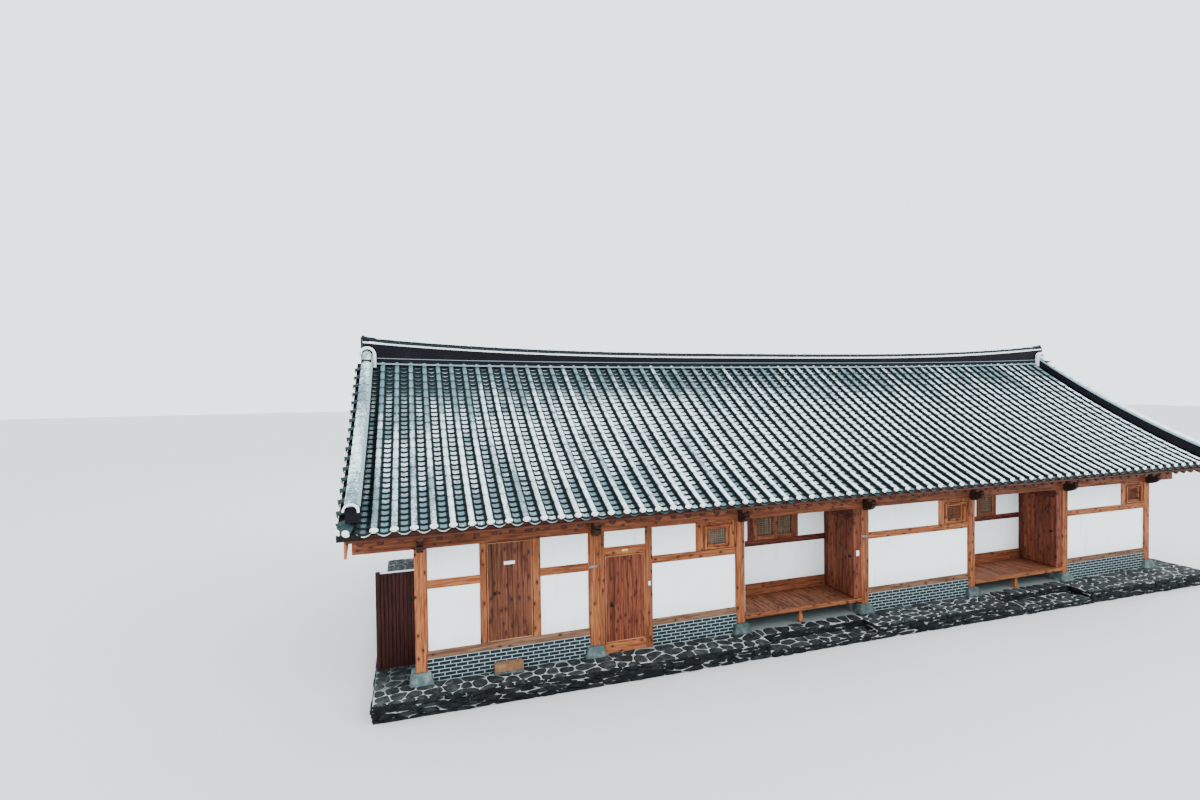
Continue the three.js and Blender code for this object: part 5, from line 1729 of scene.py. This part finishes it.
class HANOK_OT_stones(Operator):
    """Lays the rough stones on the top and the faces of the platform"""

    bl_idname = "hanok.stones"
    bl_label = "Platform stones"

    def execute(self, context):
        self.settings = context.scene.hanok_stone
        self.chance = random.Random(self.settings.seed)
        for node in ("base", "top", "front_left", "front_middle", "front_right"):
            dress(f"platform_{node}", "stone_joint")
        top, faces = Joinery(95), Joinery(96)
        steps = [(COLUMNS[k] + 0.3, COLUMNS[k] + 2.9) for k in PORCH_BAYS]
        wall = FRONT + BRICK_INSET
        left, right, back = PLATFORM["left"], PLATFORM["right"], PLATFORM["back"]
        edges = [left, *steps[0], *steps[1], right]
        for start, end in zip(edges[::2], edges[1::2]):
            near, far = (start, platform_front(start)), (end, platform_front(end))
            self.lay(top, [*self.overhang(near, far), (end, wall), (start, wall)], PLATFORM_TOP)
            self.face(faces, near, far, 0, PLATFORM_TOP)
        for start, end in steps:
            near, far = (start, platform_front(start)), (end, platform_front(end))
            riser = (start, STEP_BACK), (end, STEP_BACK)
            self.lay(top, [*self.overhang(*riser), (end, wall), (start, wall)], PLATFORM_TOP)
            self.lay(top, [*self.overhang(near, far), *riser[::-1]], STEP_TOP)
            self.face(faces, near, far, 0, STEP_TOP)
            self.face(faces, *riser, STEP_TOP, PLATFORM_TOP)
            self.face(faces, near, riser[0], STEP_TOP, PLATFORM_TOP)
            self.face(faces, riser[1], far, STEP_TOP, PLATFORM_TOP)
        side = OUTER - BRICK_INSET
        self.lay(top, [(left, wall), (-side, wall), (-side, -wall), (left, -wall)], PLATFORM_TOP)
        self.lay(top, [(side, wall), (right, wall), (right, -wall), (side, -wall)], PLATFORM_TOP)
        self.lay(top, [(left, -wall), (right, -wall), (right, back), (left, back)], PLATFORM_TOP)
        self.face(faces, (left, back), (left, platform_front(left)), 0, PLATFORM_TOP)
        self.face(faces, (right, platform_front(right)), (right, back), 0, PLATFORM_TOP)
        self.face(faces, (right, back), (left, back), 0, PLATFORM_TOP)
        top.piece("platform_stones", "stone", "stone")
        faces.piece("platform_face_stones", "rough_stone", "stone")
        self.door_step()
        return {"FINISHED"}

    def overhang(self, *ends):
        """The two ends of an edge, as far out as the stones stand over the face below."""
        return [(x, y - 0.022) for x, y in ends]

    def door_step(self):
        """The small step at the first door: a pale slab on a lower bed."""
        slab, bed = Joinery(97), Joinery(98)
        low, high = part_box("door_step")
        slab.board((low.x, low.y, DOOR_STEP_BED), (high.x, high.y, high.z), 0.012)
        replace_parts(slab.piece("door_step_block", "tan_stone", "stone"), "door_step")
        bed.board((low.x - 0.01, low.y - 0.01, low.z), (high.x + 0.01, high.y, DOOR_STEP_BED), 0.012)
        bed.piece("door_step_foot", "granite", "stone")

    def lay(self, joinery, outline, height):
        """Stones on a level bed."""
        size, joint = self.settings.size, self.settings.joint
        for shape in stones_in(outline, size, size * 0.8, joint, self.chance):
            self.stone(joinery, shape, lambda u, v, h: (u, v, height + h), self.chance.uniform(0.006, 0.018))

    def face(self, joinery, start, end, low, high):
        """Long thin stones on an upright face that looks to the right of the way from start to end."""
        run = Vector((end[0] - start[0], end[1] - start[1]))
        along = run.normalized()
        out = Vector((along.y, -along.x))
        outline = [(0, low), (run.length, low), (run.length, high), (0, high)]

        def place(u, v, h):
            return (start[0] + along.x * u + out.x * h, start[1] + along.y * u + out.y * h, v)

        for shape in stones_in(outline, 0.36, 0.085, 0.020, self.chance):
            self.stone(joinery, shape, place, self.chance.uniform(0.014, 0.044))

    def stone(self, joinery, shape, place, rise):
        """One stone that rises from its bed to a worn, slightly tilted top."""
        ring = shape if signed_area(shape) > 0 else shape[::-1]
        middle = [sum(p[k] for p in ring) / len(ring) for k in (0, 1)]
        lean = self.chance.uniform(-0.03, 0.03), self.chance.uniform(-0.03, 0.03)
        points = []
        for scale, lift in ((1.0, -0.01), (1.0, rise * 0.45), (0.86, rise)):
            for u, v in ring:
                du, dv = scale * (u - middle[0]), scale * (v - middle[1])
                tilt = lean[0] * du + lean[1] * dv if lift > 0 else 0
                points.append(place(middle[0] + du, middle[1] + dv, lift + tilt))
        points.append(place(middle[0], middle[1], rise * 1.12))
        count = len(ring)
        faces = [list(range(count))[::-1], *quads(0, count, count), *quads(count, 2 * count, count)]
        faces += [[2 * count + i, 2 * count + (i + 1) % count, 3 * count] for i in range(count)]
        joinery.add(points, faces)


def handle(joinery, place, heading):
    """A round handle on a rose, that stands out along a heading in the level plane."""
    turn = Vector(heading).to_track_quat("Z", "Y").to_matrix().to_4x4()
    turn.translation = Vector(place)
    neck = [(0.030, 0.0), (0.030, 0.006), (0.026, 0.009), (0.011, 0.011), (0.010, 0.024)]
    ball = [(0.022, 0.030), (0.0275, 0.041), (0.026, 0.051), (0.016, 0.058)]
    joinery.turned(neck + ball, turn, 18)


def hinge_barrels(joinery, x, y, bottom, top):
    """Two upright barrels on the hinged edge of a leaf."""
    for middle in (bottom + 0.26, top - 0.26):
        joinery.rod((x, y, middle - 0.055), (x, y, middle + 0.055), 0.0051, 10)


class HANOK_OT_doors(Operator):
    """Hangs the two plank doors of the front, with their handles, beads and bare plates"""

    bl_idname = "hanok.doors"
    bl_label = "Front doors"

    def execute(self, context):
        plank = context.scene.hanok_door.plank
        face = FRONT + FRAME_FACE
        leaf_1 = (-8.443, -7.6055, SILL[1] + 0.005, BEAM[0] - 0.005)
        leaf_2 = (-6.183, -5.3455, PAD_TOP + 0.005, DOOR_2_TOP - 0.005)
        lock_1 = ((0.205, -0.006, 1.715), (0.235, 0.004, 1.765))
        lock_2 = ((0.110, -0.002, 1.20), (0.156, 0.004, 1.30))
        doors = (
            ("door_1", leaf_1, 1.74, lock_1, "brown_plank"),
            ("door_2", leaf_2, 1.25, lock_2, "orange_plank"),
        )
        for name, (left, right, bottom, top), height, lock, finish in doors:
            boards, iron, bead = Joinery(101), Joinery(102), Joinery(103)
            planks(boards, (left, face + 0.004, bottom), (right, face + 0.030, top), plank, 0, 0.004, 0.004)
            for low in (bottom + 0.10, top - 0.24):
                boards.board((left + 0.01, face + 0.030, low), (right - 0.01, face + 0.045, low + 0.12))
            body = f"{name}_leaf"
            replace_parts(boards.piece(f"{name}_planks", finish, "timber", body), name)
            handle(iron, (left + 0.133, face + 0.004, height), (0, -1, 0))
            iron.board(*[(left + x, face + y, z) for x, y, z in lock], 0.003)
            hinge_barrels(iron, right, face, bottom, top)
            iron.piece(f"{name}_handle", "iron", "timber", body)
            y, inset, radius = face + 0.004, 0.012, 0.009
            for x in (left + inset, right - inset):
                bead.rod((x, y, bottom), (x, y, top), radius, 10)
            for z in (bottom + inset, top - inset):
                bead.rod((left + inset, y, z), (right - inset, y, z), radius, 10)
            bead.piece(f"{name}_beads", "bead_pine", "timber", body)
        plate = Joinery(104)
        plate.board((-8.13, face - 0.001, 2.25), (-7.93, face + 0.005, 2.31), 0.002)
        plate.piece("door_1_bare_plate", "plate", "timber", "door_1_leaf")
        return {"FINISHED"}


def lattice(bars, paper, left, right, bottom, top, y):
    """Crossed bars in front of a sheet of paper."""
    window = bpy.context.scene.hanok_window
    half = window.bar / 2
    for k in range(window.bars_across):
        x = left + (k + 1) * (right - left) / (window.bars_across + 1)
        bars.board((x - half, y - 0.014, bottom), (x + half, y, top), 0.001)
    for k in range(window.bars_up):
        z = bottom + (k + 1) * (top - bottom) / (window.bars_up + 1)
        bars.board((left, y - 0.011, z - half), (right, y + 0.003, z + half), 0.001)
    paper.board((left, y + 0.004, bottom), (right, y + 0.012, top), 0)


def sash(boards, bars, paper, outer, holes, face, back):
    """A boarded window: stiles and rails round its lattices, closed behind them."""
    left, right, bottom, top = outer
    edges = [left, *[value for hole in holes for value in hole[:2]], right]
    low, high = holes[0][2:]
    for start, end in zip(edges[::2], edges[1::2]):
        boards.board((start, face, bottom), (end, back, top), 0.005)
    for hole in holes:
        boards.board((hole[0], face + 0.004, bottom), (hole[1], back, low), 0.004)
        boards.board((hole[0], face + 0.004, high), (hole[1], back, top), 0.004)
        lattice(bars, paper, *hole, face + 0.034)
        boards.board((hole[0], face + 0.055, low), (hole[1], back, high), 0)


class HANOK_OT_windows(Operator):
    """Fills the windows of the front with boarded frames and paper lattices"""

    bl_idname = "hanok.windows"
    bl_label = "Front windows"

    def execute(self, context):
        face = FRONT + 0.035
        for index in (1, 3, 5):
            boards, bars, paper = Joinery(110 + index), Joinery(120), Joinery(121)
            x = COLUMNS[index]
            outer = (x + 2.346, x + 3.079, RAIL[1] + 0.001, BEAM[0] - 0.001)
            hole = (x + 2.47, x + 2.88, 2.21, 2.52)
            sash(boards, bars, paper, outer, [hole], face, FRONT + 0.135)
            left, right, bottom, top = x + 2.365, x + 2.99, 2.125, 2.605
            wide, deep = 0.05, 0.045
            for x1, x2 in ((left, left + wide), (right - wide, right)):
                boards.board((x1, face - 0.035, bottom), (x2, face + 0.002, top), 0.004)
            for z1, z2 in ((bottom, bottom + deep), (top - deep, top)):
                boards.board((left + wide, face - 0.035, z1), (right - wide, face + 0.002, z2), 0.004)
            bay = f"bay_{index + 1}"
            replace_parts(boards.piece(f"{bay}_window_boards", "pine"), f"{bay}_window")
            bars.piece(f"{bay}_lattice", "lattice_pine" if index == 1 else "window_pine")
            paper.piece(f"{bay}_paper", "paper")
        return {"FINISHED"}


class HANOK_OT_porches(Operator):
    """Builds the raised floors, board walls, windows and doors of the two porches"""

    bl_idname = "hanok.porches"
    bl_label = "Porches"

    def execute(self, context):
        for number, bay in enumerate(PORCH_BAYS):
            name = f"porch_{number + 1}"
            left, side = COLUMNS[bay] + POST / 2, COLUMNS[bay + 1] - PORCH_SIDE
            jamb = COLUMNS[bay + 1] - POST / 2
            self.deck(name, left, jamb, COLUMNS[bay] + BAY / 2 - 0.09)
            self.board_wall(name, side, jamb)
            self.leaf(name, side)
            self.back(name, number, COLUMNS[bay], left + 0.121, side - 0.001)
        return {"FINISHED"}

    def deck(self, name, left, jamb, leg):
        """Floor boards that run from front to back behind a front rail on a leg."""
        boards, front, top = Joinery(131), FRONT - 0.02, PORCH_FLOOR_TOP
        near, far = (left + 0.121, front + 0.09, top - 0.045), (jamb - 0.001, PORCH_WALL_FACE - 0.001, top)
        planks(boards, near, far, 0.17, 0, 0.004, 0.003)
        boards.board((left + 0.001, front + 0.09, top - 0.045), (left + 0.12, FRONT + POST, top))
        for y in (FRONT + 0.16, PORCH_WALL_FACE - 0.16):
            boards.board((left + 0.13, y - 0.05, top - 0.13), (jamb - 0.01, y + 0.05, top - 0.046))
        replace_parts(boards.piece(f"{name}_deck", "deck_pine"), f"{name}_floor")
        rail = Joinery(132)
        rail.board((left + 0.001, front, top - 0.08), (jamb - 0.001, front + 0.088, top + 0.002), 0.009)
        rail.board((leg - 0.04, FRONT + 0.03, PLATFORM_TOP + 0.005), (leg + 0.04, FRONT + 0.11, top - 0.05))
        rail.piece(f"{name}_deck_rail", "pine")

    def board_wall(self, name, side, jamb):
        """The boards round the doorway at the right, and the wide board beside the post."""
        boards, base, back = Joinery(133), PORCH_FLOOR_TOP + 0.001, PORCH_WALL_FACE - 0.001
        right, face, jamb_edge, behind_beam = side + 0.06, FRONT + FRAME_FACE, -2.884, -3.535
        near, over = face + 0.04, PORCH_DOOR_TOP + 0.091
        boards.board((side, jamb_edge, base), (right, back, PORCH_DOOR_TOP))
        boards.board((side - 0.004, near, base), (right, jamb_edge - 0.001, base + 0.029))
        boards.board((side - 0.006, near, PORCH_DOOR_TOP), (right, back, over - 0.001))
        outline = [(near, over), (back, over), (back, rafter_underside(back) - 0.001)]
        outline += [(behind_beam, rafter_underside(behind_beam) - 0.001)]
        outline += [(behind_beam, BEAM[0] - 0.001), (near, BEAM[0] - 0.001)]
        boards.prism(outline, 0, side, right, 1)
        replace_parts(boards.piece(f"{name}_board_wall", "red_board", "red_timber"), f"{name}_side_frame")
        wide = Joinery(134)
        wide.board((side, face, base), (jamb - 0.001, near, BEAM[0] - 0.001))
        wide.piece(f"{name}_front_board", "porch_plank")

    def leaf(self, name, side):
        """The plank door, hinged at the back of the porch."""
        leaf, iron, plank = Joinery(135), Joinery(136), bpy.context.scene.hanok_door.plank
        front, hinge, bottom, top = -3.708, -2.89, PORCH_FLOOR_TOP + 0.0355, PORCH_DOOR_TOP - 0.005
        planks(leaf, (side + 0.005, front, bottom), (side + 0.034, hinge, top), plank, 1, 0.004, 0.004)
        for low in (bottom + 0.1, top - 0.24):
            leaf.board((side + 0.034, front + 0.008, low), (side + 0.05, hinge - 0.01, low + 0.12))
        body = f"{name}_leaf"
        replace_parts(leaf.piece(f"{name}_door_planks", "porch_plank", "red_timber", body), f"{name}_door")
        handle(iron, (side + 0.005, front + 0.07, 1.58), (-1, 0, 0))
        hinge_barrels(iron, side + 0.005, hinge, bottom, top)
        iron.piece(f"{name}_door_handle", "iron", "red_timber", body)

    def back(self, name, number, column, left, right):
        """The skirting, the rail and the window of the wall behind."""
        boards, bars, paper = Joinery(137), Joinery(138), Joinery(139)
        wall, base = PORCH_WALL_FACE, PORCH_FLOOR_TOP + 0.001
        boards.board((left, wall - 0.026, base), (right, wall - 0.001, base + 0.115))
        boards.board((left, wall - 0.020, base + 0.117), (right, wall - 0.001, base + 0.26))
        boards.piece(f"{name}_skirting", "beam_pine")
        rail = Joinery(140)
        rail.board((left, wall - 0.02, 1.77), (right, wall + 0.04, 1.904))
        window = Joinery(141 + number)
        low, high, pane = 1.906, 2.48, (2.0, 2.4)
        if number == 0:
            rail.board((column + 0.791, wall - 0.018, low), (column + 0.93, wall + 0.10, high))
            outer = (column + 0.931, column + 2.149, low, high)
            holes = [(column + 1.06, column + 1.45, *pane), (column + 1.58, column + 1.96, *pane)]
        else:
            outer = (column + 1.371, column + 2.049, low, high)
            holes = [(column + 1.50, column + 1.89, *pane)]
        sash(window, bars, paper, outer, holes, wall - 0.025, wall + 0.10)
        rail.piece(f"{name}_back_rail", "red_board")
        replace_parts(window.piece(f"{name}_window_boards", "window_pine"), f"{name}_window")
        bars.piece(f"{name}_lattice", "lattice_pine")
        paper.piece(f"{name}_paper", "paper")


class HANOK_OT_fittings(Operator):
    """Adds the switches, the small plate and the post brackets"""

    bl_idname = "hanok.fittings"
    bl_label = "Small fittings"

    def execute(self, context):
        face = FRONT + FRAME_FACE
        pale, metal, yellow = Joinery(151), Joinery(152), Joinery(153)
        for x, z, wide, high in ((-5.262, 1.58, 0.045, 0.085), (-0.20, 1.67, 0.075, 0.12)):
            for part, near, far, edge in ((2, 0.014, 0, 0.004), (4, 0.020, 0.014, 0.002)):
                low = (x - wide / part, face - near, z - high / part)
                pale.board(low, (x + wide / part, face - far, z + high / part), edge)
        pale.piece("wall_switches", "plate")
        yellow.board((-5.83, face - 0.006, 2.27), (-5.71, face, 2.31), 0.002)
        yellow.piece("lintel_plate", "brass")
        y, z = FRONT - 0.012, 2.04
        for x in (COLUMNS[1], COLUMNS[3]):
            metal.board((x - 0.112, y, z - 0.025), (x + 0.05, FRONT, z + 0.025), 0.003)
            for shift in (-0.085, 0.02):
                turn = Matrix.Translation((x + shift, y, z)) @ Matrix.Rotation(math.pi / 2, 4, "X")
                metal.turned([(0.016, 0.0), (0.016, 0.012), (0.010, 0.020)], turn, 12)
        metal.piece("post_brackets", "steel")
        return {"FINISHED"}


# The sidebar and the run


class HANOK_PT_sidebar(Panel):
    """Lists the pieces of the house"""

    bl_label = "Hanok House"
    bl_idname = "HANOK_PT_sidebar"
    bl_space_type = "VIEW_3D"
    bl_region_type = "UI"
    bl_category = "Hanok"

    def draw(self, context):
        for operator in OPERATORS:
            self.layout.operator(operator.bl_idname)
        for label, group in SETTINGS.items():
            box = self.layout.box()
            for name in group.__annotations__:
                box.prop(getattr(context.scene, label), name)


OPERATORS = (
    HANOK_OT_stage,
    HANOK_OT_roof_tiles,
    HANOK_OT_main_ridge,
    HANOK_OT_descending_ridges,
    HANOK_OT_eaves,
    HANOK_OT_beams,
    HANOK_OT_front_frames,
    HANOK_OT_side_frames,
    HANOK_OT_walls,
    HANOK_OT_stones,
    HANOK_OT_doors,
    HANOK_OT_windows,
    HANOK_OT_porches,
    HANOK_OT_fittings,
)


def register():
    for group in SETTINGS.values():
        bpy.utils.register_class(group)
    for label, group in SETTINGS.items():
        setattr(bpy.types.Scene, label, PointerProperty(type=group))
    for made in (*OPERATORS, HANOK_PT_sidebar):
        bpy.utils.register_class(made)


def unregister():
    for made in (HANOK_PT_sidebar, *reversed(OPERATORS)):
        bpy.utils.unregister_class(made)
    for label in SETTINGS:
        delattr(bpy.types.Scene, label)
    for group in reversed(list(SETTINGS.values())):
        bpy.utils.unregister_class(group)


def main():
    register()
    for operator in OPERATORS:
        family, name = operator.bl_idname.split(".")
        getattr(getattr(bpy.ops, family), name)()


if __name__ == "__main__":
    main()
